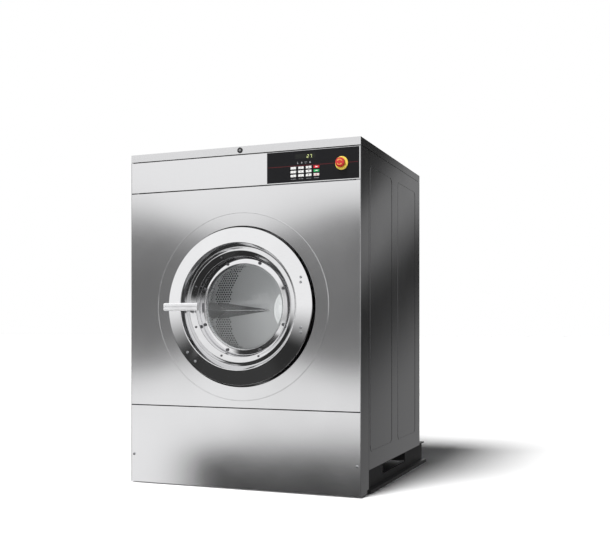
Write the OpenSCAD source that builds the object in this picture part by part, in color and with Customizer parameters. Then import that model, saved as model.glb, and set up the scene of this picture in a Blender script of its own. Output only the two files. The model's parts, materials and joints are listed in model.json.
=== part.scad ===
// Industrial front-loading washing machine, hard-mounted to the floor.
// Millimetres. X runs to the right, Y runs from the front to the back, Z runs up.

/* [Cabinet] */
// Width across the side panels
cabinet_w = 1050; // [1030:5:1120]
// Depth from the front panel to the back of the cabinet
cabinet_d = 950; // [940:5:1050]
// Height of the top cover's upper face
cabinet_h = 1425; // [1420:5:1500]
// Thickness of the cabinet's sheet steel
sheet_t = 2; // [1.5:0.5:3]
// Seam between neighbouring front panels
seam = 4; // [3:0.5:6]
// Upper edge of the lower front panel
lower_panel_top = 337; // [310:1:350]
// Height of the control fascia
fascia_h = 133; // [130:1:140]
// Height of the top cover's front face
cover_h = 32; // [28:1:40]
// Depth of the front corner columns along the side
column_d = 107; // [95:1:125]
// Gap under the front panel and the columns
floor_gap = 5; // [3:1:10]
// Depth of the folded edges of the front panels
fold_d = 20; // [12:1:22]

/* [Base frame] */
// Height of the two side rails
rail_h = 102; // [100:1:120]
// Wall of the side rails
rail_t = 6; // [4:1:8]
// Distance that the rails reach behind the cabinet
rear_reach = 100; // [60:5:140]
// Distance that the bottom flange reaches past the side panel
flange_proud = 8; // [4:1:15]
// Length of the fork window in each rail
fork_len = 370; // [300:5:380]
// Height of the fork window
fork_h = 42; // [40:1:50]
// Radius of the anchor bolt holes
anchor_r = 9.5; // [8:0.5:11]

/* [Door] */
// Height of the drum's and the door's axis
axis_z = 761; // [755:1:765]
// Outer radius of the door ring
ring_r = 327; // [324:1:330]
// Gap between the door ring and the hole in the front panel
ring_gap = 8; // [6:0.5:10]
// Radius of the door ring's raised inner lip
lip_r = 264; // [262:1:266]
// Height of the inner lip in front of the front panel
lip_h = 32; // [31:0.5:34]
// Radius of the round bead pressed into the front panel
bead_r = 390; // [380:1:400]
// Outer radius of the clamp ring round the glass
clamp_r = 203; // [200:1:205]
// Inner radius of the clamp ring
sight_r = 180; // [178:1:182]
// Thickness of the door glass
glass_t = 6; // [5:0.5:7]
// Depth of the glass bowl
bowl_depth = 50; // [40:1:56]
// Distance from the front panel to the handle's front face
handle_reach = 50; // [48:1:56]
// Height of the handle bar
handle_h = 33; // [28:1:38]

/* [Drum and tub] */
// Outer radius of the tub
tub_r = 490; // [484:1:494]
// Sheet thickness of the tub
tub_t = 3; // [2:0.5:4]
// Radius of the tub's mouth
mouth_r = 236; // [235:0.5:238]
// Gap between the drum and the tub
drum_gap = 34; // [30:1:40]
// Sheet thickness of the drum
drum_t = 2; // [1.5:0.5:3]
// Radius of the drum's mouth
drum_mouth_r = 222; // [215:1:228]
// Depth of the space behind the tub for the drive
drive_d = 248; // [240:2:290]
// Height of the drum's lifters
lifter_h = 80; // [50:5:100]
// Radius of the drum's perforations
drum_hole_r = 6; // [3:0.5:8]

/* [Drive] */
// Radius of the drum shaft
shaft_r = 40; // [35:1:45]
// Radius of the drum pulley
drum_pulley_r = 300; // [270:5:310]
// Radius of the motor pulley
motor_pulley_r = 45; // [40:1:60]
// Radius of the motor's housing
motor_r = 105; // [95:1:110]
// Thickness of the drive belts
belt_t = 10; // [8:0.5:12]

/* [Controls] */
// Width of the black control overlay
overlay_w = 396; // [390:1:410]
// Width of a key
key_w = 24; // [20:0.5:26]
// Height of a key
key_h = 10; // [8:0.5:12]
// Distance between key columns
key_pitch_x = 33.3; // [30:0.1:36]
// Distance between key rows
key_pitch_z = 15.6; // [14:0.1:18]
// Travel of a key
key_travel = 1; // [0.5:0.1:1.5]
// Radius of the emergency stop's yellow collar
collar_r = 27; // [25:1:32]
// Radius of the emergency stop's red mushroom
mushroom_r = 19.5; // [16:0.5:22]
// Travel of the emergency stop
stop_travel = 4; // [3:0.5:5]

/* [Service parts] */
// Width of the supply dispenser's lid
lid_w = 168; // [150:2:180]
// Depth of the supply dispenser's lid
lid_d = 190; // [170:2:200]
// Radius of the drain outlet pipe
drain_r = 38.1; // [32:0.1:40]
// Radius of a water inlet's thread
inlet_r = 13.2; // [10:0.1:15]

/* [Hidden] */
$fn = 72;

// Fits and small clearances shared by every piece
seat_gap = 0.3;
run_gap = 0.05;
fit_gap = 0.02;
join = 0.01;

// Cabinet outline
half_w = cabinet_w / 2;
front_y = handle_reach - (handle_reach + cabinet_d + rear_reach) / 2;
inner_w = half_w - sheet_t;
panel_w = inner_w - seat_gap;
cover_z = cabinet_h - cover_h;
wall_top = cover_z - sheet_t;
fascia_bottom = wall_top - fascia_h;
side_z = rail_h - rail_t;
return_w = 18;
bead_h = 1;
hole_r = ring_r + ring_gap;

// Base frame
web_x = half_w - 14;
foot_h = 14;
rail_in_x = half_w - 85;
rail_y = fold_d + seam;
cross_size = 60;
fork_y = 353;
fork_z = 44;
tub_y = 92;
tub_back_y = cabinet_d - drive_d;
leg_y = tub_back_y + 60;
cross_ys = [40, 270, leg_y - 2, cabinet_d - 80];
saddle_ys = [180, tub_back_y - 147];
saddle_t = 10;
saddle_half = half_w - 55;
saddle_top = axis_z - 200;
anchor_x = half_w - 50;
anchor_ys = [140, cabinet_d + rear_reach - 45];

// Front frame
frame_rail_y = fold_d + sheet_t;
frame_rail_d = 40;
frame_rail_h = 30;
column_return = inner_w - tub_r - 3;
cover_post_w = 24;

// Door depths, measured back from the front panel
edge_h = 19;
ring_t = 2;
pad_y = -18;
pad_r = 296;
cast_r = lip_r - 2;
cast_flange_r = 278;
cast_back_y = 8;
throat_r = 250;
throat_y = -4;
crest_r = 231;
crest_y = -8;
wall_y = 8;
pan_lip_y = 34;
pan_floor_y = pan_lip_y + 8;
pan_back_y = 60;
pan_r = clamp_r + 3;
pan_out_r = pan_r + 5;
glass_r = 187;
glass_y = 47;
glass_seat_r = 190;
floor_r = 178;
bowl_r = 170;
bowl_sphere = (bowl_r * bowl_r + bowl_depth * bowl_depth) / (2 * bowl_depth);
clamp_bolt_r = (clamp_r + glass_seat_r) / 2 - 1;
clamp_bolts = 8;
stud_circle = 222;
stud_r = 5;
first_bolt = 22.5;

// Door hinge, hidden behind the ring on the right
pin_x = ring_r - 24;
pin_y = -12;
pin_r = 4;
knuckle_r = 8;
knuckle_half = 35;
arm_gap = 0.5;
arm_h = 24;
leaf_x = [266, 292];
leaf_half = 122;
leaf_t = 6;
notch_x = 286;
hinge_screw_x = 281;
hinge_screw_zs = [-107, -87, 95, 115];
catch_screw_angles = [219.5, 229.4];
catch_screw_r = ring_r - 26;
arm_reach_y = tub_y;
arm_in = 37;
arm_out = 27;
arm_bend = 32;
arm_back = 72;

// Door handle and its latch on the left
handle_x = -290;
handle_ends = [-335, -174];
handle_t = 15;
handle_y = -handle_reach;
boss_y = -30.5;
boss_r = 17;
handle_shaft_r = 8;
tongue_y = cast_back_y + seat_gap;
tongue_t = 6;
tongue_len = 55;
tongue_w = 12;
tongue_rest = -120;
keeper_y = sheet_t;
keeper_t = tongue_y - keeper_y - seat_gap;
lock_x = [-440, -352];
lock_z = [-60, 30];
bolt_size = 10;
bolt_z = -17;

// Tub and drum depths
mouth_y = 24;
drum_r = tub_r - drum_gap;
drum_y = tub_y + 20;
drum_back_t = 4;
spider_t = 20;
spider_gap = 26;
drum_back_y = tub_back_y - spider_gap - spider_t - drum_back_t;
drum_d = drum_back_y - drum_y;
hub_r = 118;
lifter_w = 86;
lifter_angles = [60, 180, 300];
shell_hole_rows = 4;
shell_hole_count = 18;
back_hole_rings = [365, 395, 425];
back_hole_count = 24;

// Drive train
housing_r = 110;
housing_d = 128;
housing_y = tub_back_y;
bearing_r = 70;
bearing_t = 30;
bearing_ys = [housing_y + 14, housing_y + housing_d - 40];
seal_r = 58;
seal_t = 12;
leg_x = 155;
leg_w = 30;
leg_t = 28;
pulley_y = housing_y + housing_d + 15;
pulley_w = 40;
pulley_hub_r = 60;
pulley_rim = 30;
shaft_nose_r = shaft_r - 10;
belt_count = 3;
belt_w = 9;
motor_x = half_w - 195;
motor_z = 240;
motor_d = 240;
motor_y = pulley_y - 15 - motor_d;
motor_wall = 20;
rotor_r = 60;
rotor_shaft_r = 14;

// Drain
drain_y = tub_back_y - 72;
drain_drop = 76;
drain_z = axis_z - tub_r - drain_drop;
drain_t = 3;
drain_end_y = cabinet_d + 45;
actuator_half = 35;
actuator_top = 60;
drain_top = axis_z - tub_r - 28;
drain_pipe_r = drain_r - 1.5;
ball_y = tub_back_y + 28;
ball_r = drain_r + 8;
valve_r = ball_r + 10;
valve_half = 52;
stem_r = 8;
stem_len = 40;

// Water inlets
lid_x = -half_w + 209;
dispenser_z = fascia_bottom - seam;
inlet_xs = [lid_x - 34, lid_x + 36];
inlet_z = dispenser_z + 46;
inlet_len = 16;
hose_r = 11;
hose_t = 3;
valve_y = cabinet_d - 60;
gland_x = half_w - 110;

// Supply dispenser
lid_y = 60;
lid_gap = 1;
lid_t = 2;
dispenser_rim = 8;
dispenser_wall = 4;
cup_floor_z = dispenser_z + 30;
dispenser_d = lid_d - 4 + dispenser_rim;
spout_r = 22;
grip_w = 68;
grip_d = 24;
grip_h = 11;
lid_pin_r = 1.5;
lid_knuckle_r = 3;
lid_pin_y = lid_y + lid_d + lid_knuckle_r - lid_t;
lid_pin_z = cabinet_h - lid_t / 2;

// Top cover hinges and lock
cover_pin_y = cabinet_d + 7;
cover_pin_z = wall_top;
cover_pin_r = 3;
cover_knuckle_r = 6;
cover_hinge_x = 300;
cover_knuckle_w = 40;
lock_r = 10;
lock_head_r = 12;
lock_proud = 3;
lock_tongue_y = fold_d + sheet_t + 2;
lock_tongue_t = 3;
lock_tongue_len = 30;

// Controls
overlay_t = 1;
overlay_right = half_w - 6;
overlay_z = [fascia_bottom + 4, wall_top - 4];
estop_x = half_w - 79;
estop_z = fascia_bottom + 67;
collar_t = 5;
stem_stop_r = 11;
mushroom_t = 16;
keypad_inset = 285.7;
key_x = half_w - keypad_inset;
key_z = fascia_bottom + 60;
key_columns = 4;
key_rows = 3;
key_gap = 0.3;
key_proud = 1.2;
key_len = 6;
board_y = key_len + key_travel + key_gap;
box_y = fold_d + seam;
box_w = 360;
box_x = [half_w - 35 - box_w, half_w - 35];
box_d = 46;
screw_r = 3;
screw_head_r = 6;
screw_head_h = 2;
front_screw_x = half_w - 15;
front_screw_z = 125;
rear_screw_x = inner_w - 9;
rear_screw_zs = [160, 500, 840, 1180];
louvre_xs = [-300, 120];
louvre_w = 180;
louvre_z = 420;
louvre_pitch = 32;
louvre_slot = 8;
louvre_rows = 8;

// Moves a piece drawn from the front panel's plane into the centred frame
module placed() {
    translate([0, front_y, 0]) children();
}

// Turns a piece so that its own Z runs to the back of the machine
module facing(x, y, z) {
    translate([x, y, z]) rotate([-90, 0, 0]) children();
}

module both_sides() {
    children();
    mirror([1, 0, 0]) children();
}

// Block between two corners
module block(low, high) {
    translate(low) cube(high - low);
}

// Straight pipe with a bore
module pipe(r_out, r_in, len) {
    difference() {
        cylinder(r = r_out, h = len);
        translate([0, 0, -join]) cylinder(r = r_in, h = len + 2 * join);
    }
}

// Ring turned about the door's axis from points of radius and depth
module turned(points, sides = 120) {
    facing(0, 0, axis_z) rotate_extrude($fn = sides) polygon(points);
}

function polar(r, a) = [r * cos(a), r * sin(a)];

// Depth of the door ring's sloping face at a radius
function ring_face(r) = -lip_h + (r - lip_r) * (lip_h - edge_h) / (ring_r - lip_r);

// Places a child on the door at a radius and an angle seen from the front
module on_door(r, a, y) {
    spot = polar(r, a);
    facing(spot[0], y, axis_z + spot[1]) children();
}

// Flat sheet with its four edges folded back
module folded_panel(z_low, z_high) {
    difference() {
        block([-panel_w, 0, z_low], [panel_w, fold_d + sheet_t, z_high]);
        block([-panel_w + sheet_t, sheet_t, z_low + sheet_t],
              [panel_w - sheet_t, fold_d + 2 * sheet_t, z_high - sheet_t]);
    }
}

// Rounded bead pressed out of a side panel, between two depths
module side_bead(y_low, y_high) {
    bead_corner = 30;
    bead_w = 6;
    bead_z = [165, wall_top - 56];
    translate([inner_w - join, 0, 0]) rotate([90, 0, 90]) linear_extrude(sheet_t + bead_h) difference() {
        rounded_square([y_low, bead_z[0]], [y_high, bead_z[1]], bead_corner);
        rounded_square([y_low + bead_w, bead_z[0] + bead_w], [y_high - bead_w, bead_z[1] - bead_w],
                       bead_corner - bead_w);
    }
}

module rounded_square(low, high, r) {
    translate([low[0] + r, low[1]]) square([high[0] - low[0] - 2 * r, high[1] - low[1]]);
    translate([low[0], low[1] + r]) square([high[0] - low[0], high[1] - low[1] - 2 * r]);
    for (x = [low[0] + r, high[0] - r], y = [low[1] + r, high[1] - r])
        translate([x, y]) circle(r = r, $fn = 32);
}

// One C-section side rail with its fork window
module rail() {
    rail_end = cabinet_d + rear_reach;
    difference() {
        union() {
            block([rail_in_x, rail_y, 0], [web_x, rail_end, rail_t]);
            block([web_x - join, column_d + seam, 0], [half_w + flange_proud, rail_end, foot_h]);
            block([web_x - rail_t, rail_y, 0], [web_x, rail_end, rail_h]);
            block([rail_in_x, rail_y, rail_h - rail_t], [panel_w, rail_end, rail_h]);
        }
        block([web_x - 2 * rail_t, fork_y, fork_z], [web_x + rail_t, fork_y + fork_len, fork_z + fork_h]);
        for (y = anchor_ys)
            translate([anchor_x, y, -join]) cylinder(r = anchor_r, h = rail_t + 2 * join);
    }
}

// Upright plate whose round cut-out carries the tub
module saddle(y) {
    difference() {
        block([-saddle_half, y, rail_h - join], [saddle_half, y + saddle_t, saddle_top]);
        facing(0, y - join, axis_z) cylinder(r = tub_r + seat_gap, h = saddle_t + 2 * join, $fn = 120);
    }
}

module base_frame() {
    color("#1b1b1d") placed() {
        both_sides() rail();
        for (y = cross_ys)
            block([-web_x + rail_t - join, y, rail_h - cross_size],
                  [web_x - rail_t + join, y + cross_size, rail_h]);
        for (y = saddle_ys) saddle(y);
    }
}

module front_frame() {
    color("#4c4c50") placed() difference() {
        union() {
            both_sides() {
                block([inner_w, 0, floor_gap], [half_w, column_d, wall_top]);
                block([inner_w - column_return, column_d - sheet_t, rail_h], [half_w, column_d, wall_top]);
                block([inner_w - cover_post_w, frame_rail_y, fascia_bottom - seam - frame_rail_h],
                      [inner_w - 2, frame_rail_y + frame_rail_d, cabinet_h - sheet_t - seat_gap]);
                block([front_screw_x - 15, frame_rail_y, front_screw_z - 15],
                      [half_w - join, frame_rail_y + seam, front_screw_z + 15]);
            }
            for (z = [lower_panel_top - frame_rail_h, fascia_bottom - seam - frame_rail_h])
                block([-half_w + join, frame_rail_y, z],
                      [half_w - join, frame_rail_y + frame_rail_d, z + frame_rail_h]);
        }
        both_sides() facing(front_screw_x, 0, front_screw_z)
            cylinder(r = screw_r + run_gap, h = frame_rail_y + 2 * seam, $fn = 24);
    }
}

module side_panel() {
    block([inner_w, column_d + sheet_t, side_z], [half_w, cabinet_d, wall_top]);
    block([inner_w - return_w, column_d + sheet_t, rail_h],
          [half_w, column_d + 2 * sheet_t, wall_top]);
    difference() {
        block([inner_w - return_w, cabinet_d - 2 * sheet_t, rail_h],
              [inner_w + join, cabinet_d - sheet_t, wall_top]);
        for (z = rear_screw_zs)
            facing(rear_screw_x, cabinet_d - 3 * sheet_t, z)
                cylinder(r = screw_r + run_gap, h = 3 * sheet_t, $fn = 24);
    }
    block([inner_w - return_w, column_d + sheet_t, wall_top - sheet_t],
          [half_w, cabinet_d, wall_top]);
    side_bead(column_d + 18, cabinet_d / 2 - 23);
    side_bead(cabinet_d / 2 + 71, cabinet_d - 87);
}

module side_panel_right() {
    color("#5d5d60") placed() side_panel();
}

module side_panel_left() {
    color("#5d5d60") placed() mirror([1, 0, 0]) side_panel();
}

module front_panel() {
    color("#c9cacc") placed() {
        difference() {
            folded_panel(lower_panel_top + seam, fascia_bottom - seam);
            facing(0, -join, axis_z) cylinder(r = hole_r, h = sheet_t + 2 * join, $fn = 120);
        }
        facing(0, -bead_h, axis_z) pipe(bead_r + 1.5, bead_r - 1.5, bead_h + join, $fn = 120);
    }
}

module lower_front_panel() {
    color("#c9cacc") placed() difference() {
        folded_panel(floor_gap, lower_panel_top);
        both_sides() facing(front_screw_x, -join, front_screw_z)
            cylinder(r = screw_r + run_gap, h = sheet_t + 2 * join, $fn = 24);
    }
}

// Column and row of a key, counted from the top left
function key_column(i) = i % key_columns;
function key_row(i) = floor(i / key_columns);

module at_key(i) {
    translate([key_x + key_column(i) * key_pitch_x, 0, key_z - key_row(i) * key_pitch_z]) children();
}

// Holes for the keys and the emergency stop through a front sheet
module control_holes() {
    for (i = [0 : key_columns * key_rows - 1])
        at_key(i) translate([-key_w / 2 - key_gap, -2 * overlay_t, -key_h / 2 - key_gap])
            cube([key_w + 2 * key_gap, sheet_t + 4 * overlay_t, key_h + 2 * key_gap]);
    facing(estop_x, -2 * overlay_t, estop_z)
        cylinder(r = stem_stop_r + run_gap, h = sheet_t + 4 * overlay_t);
}

module control_fascia() {
    color("#c9cacc") placed() difference() {
        folded_panel(fascia_bottom, wall_top - sheet_t);
        control_holes();
    }
}

module control_overlay() {
    color("#121214") placed() difference() {
        block([overlay_right - overlay_w, -overlay_t, overlay_z[0]], [overlay_right, 0, overlay_z[1]]);
        control_holes();
    }
}

module key(i) {
    color(key_column(i) < key_columns - 1 ? "#e4e4e4" : ["#b3262a", "#2f9a52", "#e8dada"][key_row(i)])
        placed() at_key(i) translate([-key_w / 2, -overlay_t - key_proud, -key_h / 2])
            cube([key_w, overlay_t + key_proud + key_len, key_h]);
}

module key_1() { key(0); }
module key_2() { key(1); }
module key_3() { key(2); }
module key_4() { key(3); }
module key_5() { key(4); }
module key_6() { key(5); }
module key_7() { key(6); }
module key_8() { key(7); }
module key_9() { key(8); }
module key_10() { key(9); }
module key_11() { key(10); }
module key_12() { key(11); }

module estop_collar() {
    color("#e8c21c") placed() facing(estop_x, -overlay_t - collar_t, estop_z)
        pipe(collar_r, stem_stop_r + run_gap, collar_t);
}

module estop_button() {
    head_back = overlay_t + collar_t + stop_travel + 2;
    color("#c0201d") placed() facing(estop_x, 0, estop_z) {
        translate([0, 0, -head_back]) cylinder(r = stem_stop_r, h = head_back + box_y - stop_travel - 1);
        rotate_extrude() polygon([
            [0, -head_back], [mushroom_r - 2, -head_back], [mushroom_r, -head_back - 3],
            [mushroom_r, -head_back - mushroom_t + 5], [mushroom_r - 2, -head_back - mushroom_t + 2],
            [mushroom_r - 7, -head_back - mushroom_t], [0, -head_back - mushroom_t]
        ]);
    }
}

// Electronics behind the fascia: case, key switch board and stop switch block
module control_box() {
    board_edge = 16;
    color("#8d8f93") placed() {
        block([box_x[0], box_y, fascia_bottom - seam], [box_x[1], box_y + box_d, wall_top - 4 * sheet_t]);
        block([key_x - key_w / 2 - board_edge, board_y, key_z - (key_rows - 1) * key_pitch_z - board_edge],
              [key_x + (key_columns - 1) * key_pitch_x + key_w / 2 + board_edge, box_y + join,
               key_z + board_edge]);
    }
}

module rear_panel() {
    gland_r = 14.25;
    color("#a9abae") placed() {
        difference() {
            block([-panel_w, cabinet_d - sheet_t, rail_h + seat_gap],
                  [panel_w, cabinet_d, wall_top - sheet_t]);
            for (x = inlet_xs)
                facing(x, cabinet_d - 2 * sheet_t, inlet_z) cylinder(r = inlet_r + 1, h = 3 * sheet_t);
            facing(0, cabinet_d - 2 * sheet_t, drain_z)
                cylinder(r = drain_r + seat_gap, h = 3 * sheet_t);
            facing(gland_x, cabinet_d - 2 * sheet_t, inlet_z)
                cylinder(r = gland_r, h = 3 * sheet_t);
            for (i = [0 : louvre_rows - 1], x = louvre_xs)
                block([x, cabinet_d - 2 * sheet_t, louvre_z + louvre_pitch * i],
                      [x + louvre_w, cabinet_d + sheet_t, louvre_z + louvre_pitch * i + louvre_slot]);
            for (z = rear_screw_zs, x = [-rear_screw_x, rear_screw_x])
                facing(x, cabinet_d - 2 * sheet_t, z)
                    cylinder(r = screw_r + run_gap, h = 3 * sheet_t, $fn = 24);
        }
        both_sides() cover_hinge_leaf();
    }
}

// Fixed leaf, knuckle and pin of a top cover hinge
module cover_hinge_leaf() {
    leaf_h = 55;
    leaf_drop = cover_knuckle_r + 1;
    x_end = cover_hinge_x + 2 * cover_knuckle_w;
    block([cover_hinge_x, cabinet_d - join, cover_pin_z - leaf_h],
          [x_end, cabinet_d + 3, cover_pin_z - leaf_drop]);
    block([cover_hinge_x, cabinet_d + 1, cover_pin_z - leaf_drop - join],
          [cover_hinge_x + cover_knuckle_w - arm_gap, cabinet_d + 3, cover_pin_z]);
    translate([cover_hinge_x, cover_pin_y, cover_pin_z]) rotate([0, 90, 0]) {
        cylinder(r = cover_knuckle_r, h = cover_knuckle_w - arm_gap);
        cylinder(r = cover_pin_r, h = 2 * cover_knuckle_w);
    }
}

module cabinet_screws() {
    color("#d5d6d8") placed() {
        both_sides() facing(front_screw_x, -screw_head_h, front_screw_z) {
            cylinder(r = screw_head_r, h = screw_head_h, $fn = 32);
            cylinder(r = screw_r, h = screw_head_h + frame_rail_y + 2 * seam, $fn = 24);
        }
        for (z = rear_screw_zs, x = [-rear_screw_x, rear_screw_x])
            facing(x, cabinet_d - 8 * sheet_t, z) {
                cylinder(r = screw_r, h = 8 * sheet_t + join, $fn = 24);
                translate([0, 0, 8 * sheet_t]) cylinder(r = screw_head_r, h = screw_head_h, $fn = 32);
            }
    }
}

module outer_tub() {
    color("#b4b6b9") placed() difference() {
        union() {
            turned([
                [mouth_r, mouth_y], [mouth_r + tub_t, mouth_y], [mouth_r + tub_t, tub_y], [tub_r, tub_y],
                [tub_r, tub_back_y], [seal_r + 2, tub_back_y], [seal_r + 2, tub_back_y - tub_t],
                [tub_r - tub_t, tub_back_y - tub_t], [tub_r - tub_t, tub_y + tub_t],
                [mouth_r, tub_y + tub_t]
            ], 144);
            translate([0, drain_y, drain_top]) cylinder(r = drain_r, h = axis_z - tub_r + 2 - drain_top);
        }
        translate([0, drain_y, drain_top - join]) cylinder(r = drain_r - drain_t, h = 3 * drain_r);
        translate([lid_x, lid_y - dispenser_rim + dispenser_d / 2, axis_z])
            cylinder(r = spout_r - 3, h = tub_r);
    }
}

module door_gasket() {
    wrap_r = mouth_r + tub_t + seat_gap;
    color("#262628") placed() turned([
        [mouth_r, cast_back_y + seat_gap], [mouth_r + 20, cast_back_y + seat_gap],
        [mouth_r + 20, mouth_y - 10], [wrap_r + 7, mouth_y - 4], [wrap_r + 7, mouth_y + 16],
        [wrap_r, mouth_y + 16], [wrap_r, mouth_y - seat_gap], [mouth_r, mouth_y - seat_gap]
    ]);
}

module bearing_housing() {
    flange_r = 290;
    flange_t = 12;
    rib_h = 60;
    color("#3f4144") placed() difference() {
        union() {
            facing(0, housing_y, axis_z) {
                cylinder(r = flange_r, h = flange_t, $fn = 120);
                cylinder(r = housing_r, h = housing_d, $fn = 96);
                for (a = [0 : 60 : 300])
                    rotate([0, 0, a]) translate([0, -8, 0]) cube([flange_r - 20, 16, rib_h]);
            }
            both_sides() block([leg_x - leg_w / 2, leg_y, rail_h],
                               [leg_x + leg_w / 2, leg_y + leg_t, axis_z - 60]);
            block([-leg_x, leg_y, axis_z - 130], [leg_x, leg_y + leg_t, axis_z - 70]);
        }
        facing(0, housing_y - join, axis_z) {
            cylinder(r = seal_r + fit_gap, h = seal_t + 2 * join);
            translate([0, 0, seal_t]) cylinder(r = bearing_r + fit_gap, h = housing_d);
        }
    }
}

module shaft_bearings() {
    color("#cfd1d4") placed() for (y = bearing_ys)
        facing(0, y, axis_z) pipe(bearing_r, shaft_r + run_gap, bearing_t);
}

module shaft_seal() {
    color("#252527") placed() facing(0, housing_y, axis_z) pipe(seal_r, shaft_r + run_gap, seal_t);
}

// Outline round both pulleys, grown by an offset
module belt_outline(grow) {
    hull() {
        circle(r = drum_pulley_r + grow, $fn = 120);
        translate([motor_x, axis_z - motor_z]) circle(r = motor_pulley_r + grow, $fn = 48);
    }
}

module drive_belts() {
    belt_clear = 0.6;
    first_y = pulley_y + (pulley_w - belt_count * belt_w - (belt_count - 1) * 3) / 2;
    color("#19191b") placed() for (i = [0 : belt_count - 1])
        facing(0, first_y + i * (belt_w + 3), axis_z) linear_extrude(belt_w) difference() {
            belt_outline(belt_clear + belt_t);
            belt_outline(belt_clear);
        }
}

module motor_housing() {
    terminal_w = 90;
    terminal_d = 110;
    terminal_h = 50;
    terminal_y = 60;
    color("#2f4a63") placed() facing(motor_x, motor_y, motor_z) difference() {
        union() {
            cylinder(r = motor_r, h = motor_d);
            translate([0, 0, -6]) cylinder(r = motor_r - 20, h = 8);
            translate([motor_r - 15, -terminal_w / 2, terminal_y]) cube([terminal_h, terminal_w, terminal_d]);
        }
        translate([0, 0, motor_wall]) cylinder(r = rotor_r + 2, h = motor_d - 2 * motor_wall);
        translate([0, 0, motor_wall / 2]) cylinder(r = rotor_shaft_r + run_gap, h = motor_d);
    }
}

module motor_mount() {
    plate_t = 8;
    cradle_half = 80;
    cradle_t = 40;
    cradle_top = motor_z - 50;
    cradle_room = 20;
    plate_room = 10;
    color("#232326") placed() difference() {
        union() {
            block([motor_x - motor_r + plate_room, motor_y + plate_room, rail_h],
                  [half_w - 3 * plate_room, motor_y + motor_d - 2, rail_h + plate_t]);
            for (y = [motor_y + cradle_room, motor_y + motor_d - cradle_room - cradle_t])
                block([motor_x - cradle_half, y, rail_h], [motor_x + cradle_half, y + cradle_t, cradle_top]);
        }
        facing(motor_x, motor_y, motor_z) cylinder(r = motor_r + seat_gap, h = motor_d);
    }
}

module motor_rotor() {
    color("#9a9da1") placed() facing(motor_x, motor_y, motor_z) {
        translate([0, 0, motor_wall / 2 + 1])
            cylinder(r = rotor_shaft_r, h = pulley_y + pulley_w - motor_y - motor_wall / 2 - 1);
        translate([0, 0, motor_wall + 5]) cylinder(r = rotor_r, h = motor_d - 2 * motor_wall - 10);
    }
}

module motor_pulley() {
    color("#6e7175") placed() facing(motor_x, pulley_y, motor_z)
        pipe(motor_pulley_r, rotor_shaft_r + fit_gap, pulley_w);
}

module drum_pulley() {
    web_t = 10;
    color("#6e7175") placed() turned([
        [shaft_nose_r + fit_gap, pulley_y], [pulley_hub_r, pulley_y],
        [pulley_hub_r, pulley_y + (pulley_w - web_t) / 2],
        [drum_pulley_r - pulley_rim, pulley_y + (pulley_w - web_t) / 2],
        [drum_pulley_r - pulley_rim, pulley_y], [drum_pulley_r, pulley_y],
        [drum_pulley_r, pulley_y + pulley_w], [drum_pulley_r - pulley_rim, pulley_y + pulley_w],
        [drum_pulley_r - pulley_rim, pulley_y + (pulley_w + web_t) / 2],
        [pulley_hub_r, pulley_y + (pulley_w + web_t) / 2],
        [pulley_hub_r, pulley_y + pulley_w], [shaft_nose_r + fit_gap, pulley_y + pulley_w]
    ], 144);
}

module drum_shell() {
    first_row = 90;
    row_step = (drum_d - 2 * first_row) / (shell_hole_rows - 1);
    color("#a6a8ab") placed() difference() {
        turned([
            [drum_mouth_r, drum_y - 12], [drum_mouth_r + drum_t, drum_y - 12],
            [drum_mouth_r + drum_t, drum_y], [drum_r, drum_y], [drum_r, drum_back_y],
            [drum_r - drum_t, drum_back_y], [drum_r - drum_t, drum_y + drum_t],
            [drum_mouth_r, drum_y + drum_t]
        ], 144);
        for (row = [0 : shell_hole_rows - 1], i = [0 : shell_hole_count - 1])
            translate([0, drum_y + first_row + row * row_step, axis_z])
                rotate([0, i * 360 / shell_hole_count + 10, 0])
                    translate([0, 0, drum_r - 3 * drum_t])
                        cylinder(r = drum_hole_r, h = 5 * drum_t, $fn = 16);
    }
}

module drum_back() {
    boss_h = 12;
    color("#a6a8ab") placed() difference() {
        turned([
            [0, drum_back_y - boss_h], [hub_r - 18, drum_back_y - boss_h], [hub_r, drum_back_y],
            [drum_r, drum_back_y], [drum_r, drum_back_y + drum_back_t], [0, drum_back_y + drum_back_t]
        ], 144);
        for (r = back_hole_rings, i = [0 : back_hole_count - 1])
            on_door(r, i * 360 / back_hole_count + 7.5, drum_back_y - join)
                cylinder(r = drum_hole_r, h = drum_back_t + 2 * join, $fn = 16);
    }
}

// One lifter: a ridge along the shell and a wedge that runs in to the hub
module lifter() {
    end_gap = 4;
    wedge_r = drum_r - drum_t - 30;
    wedge_h = 42;
    base_y = drum_back_y - seat_gap;
    intersection() {
        translate([0, drum_y + end_gap, 0]) rotate([-90, 0, 0])
            linear_extrude(drum_d - end_gap - seat_gap) polygon([
                [drum_r, lifter_w / 2], [drum_r - drum_t - lifter_h + 8, 10],
                [drum_r - drum_t - lifter_h, 0], [drum_r - drum_t - lifter_h + 8, -10],
                [drum_r, -lifter_w / 2]
            ]);
        translate([0, drum_y, 0]) rotate([-90, 0, 0])
            cylinder(r = drum_r - drum_t - seat_gap, h = drum_d, $fn = 144);
    }
    polyhedron(
        points = [
            [hub_r + 2, base_y, 0], [wedge_r, base_y, lifter_w / 2],
            [wedge_r, base_y, -lifter_w / 2], [wedge_r, base_y - wedge_h, 0]
        ],
        faces = [[0, 2, 1], [0, 1, 3], [0, 3, 2], [1, 2, 3]]
    );
}

module drum_lifters() {
    color("#9b9da0") placed() translate([0, 0, axis_z]) for (a = lifter_angles)
        rotate([0, -a, 0]) lifter();
}

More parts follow.
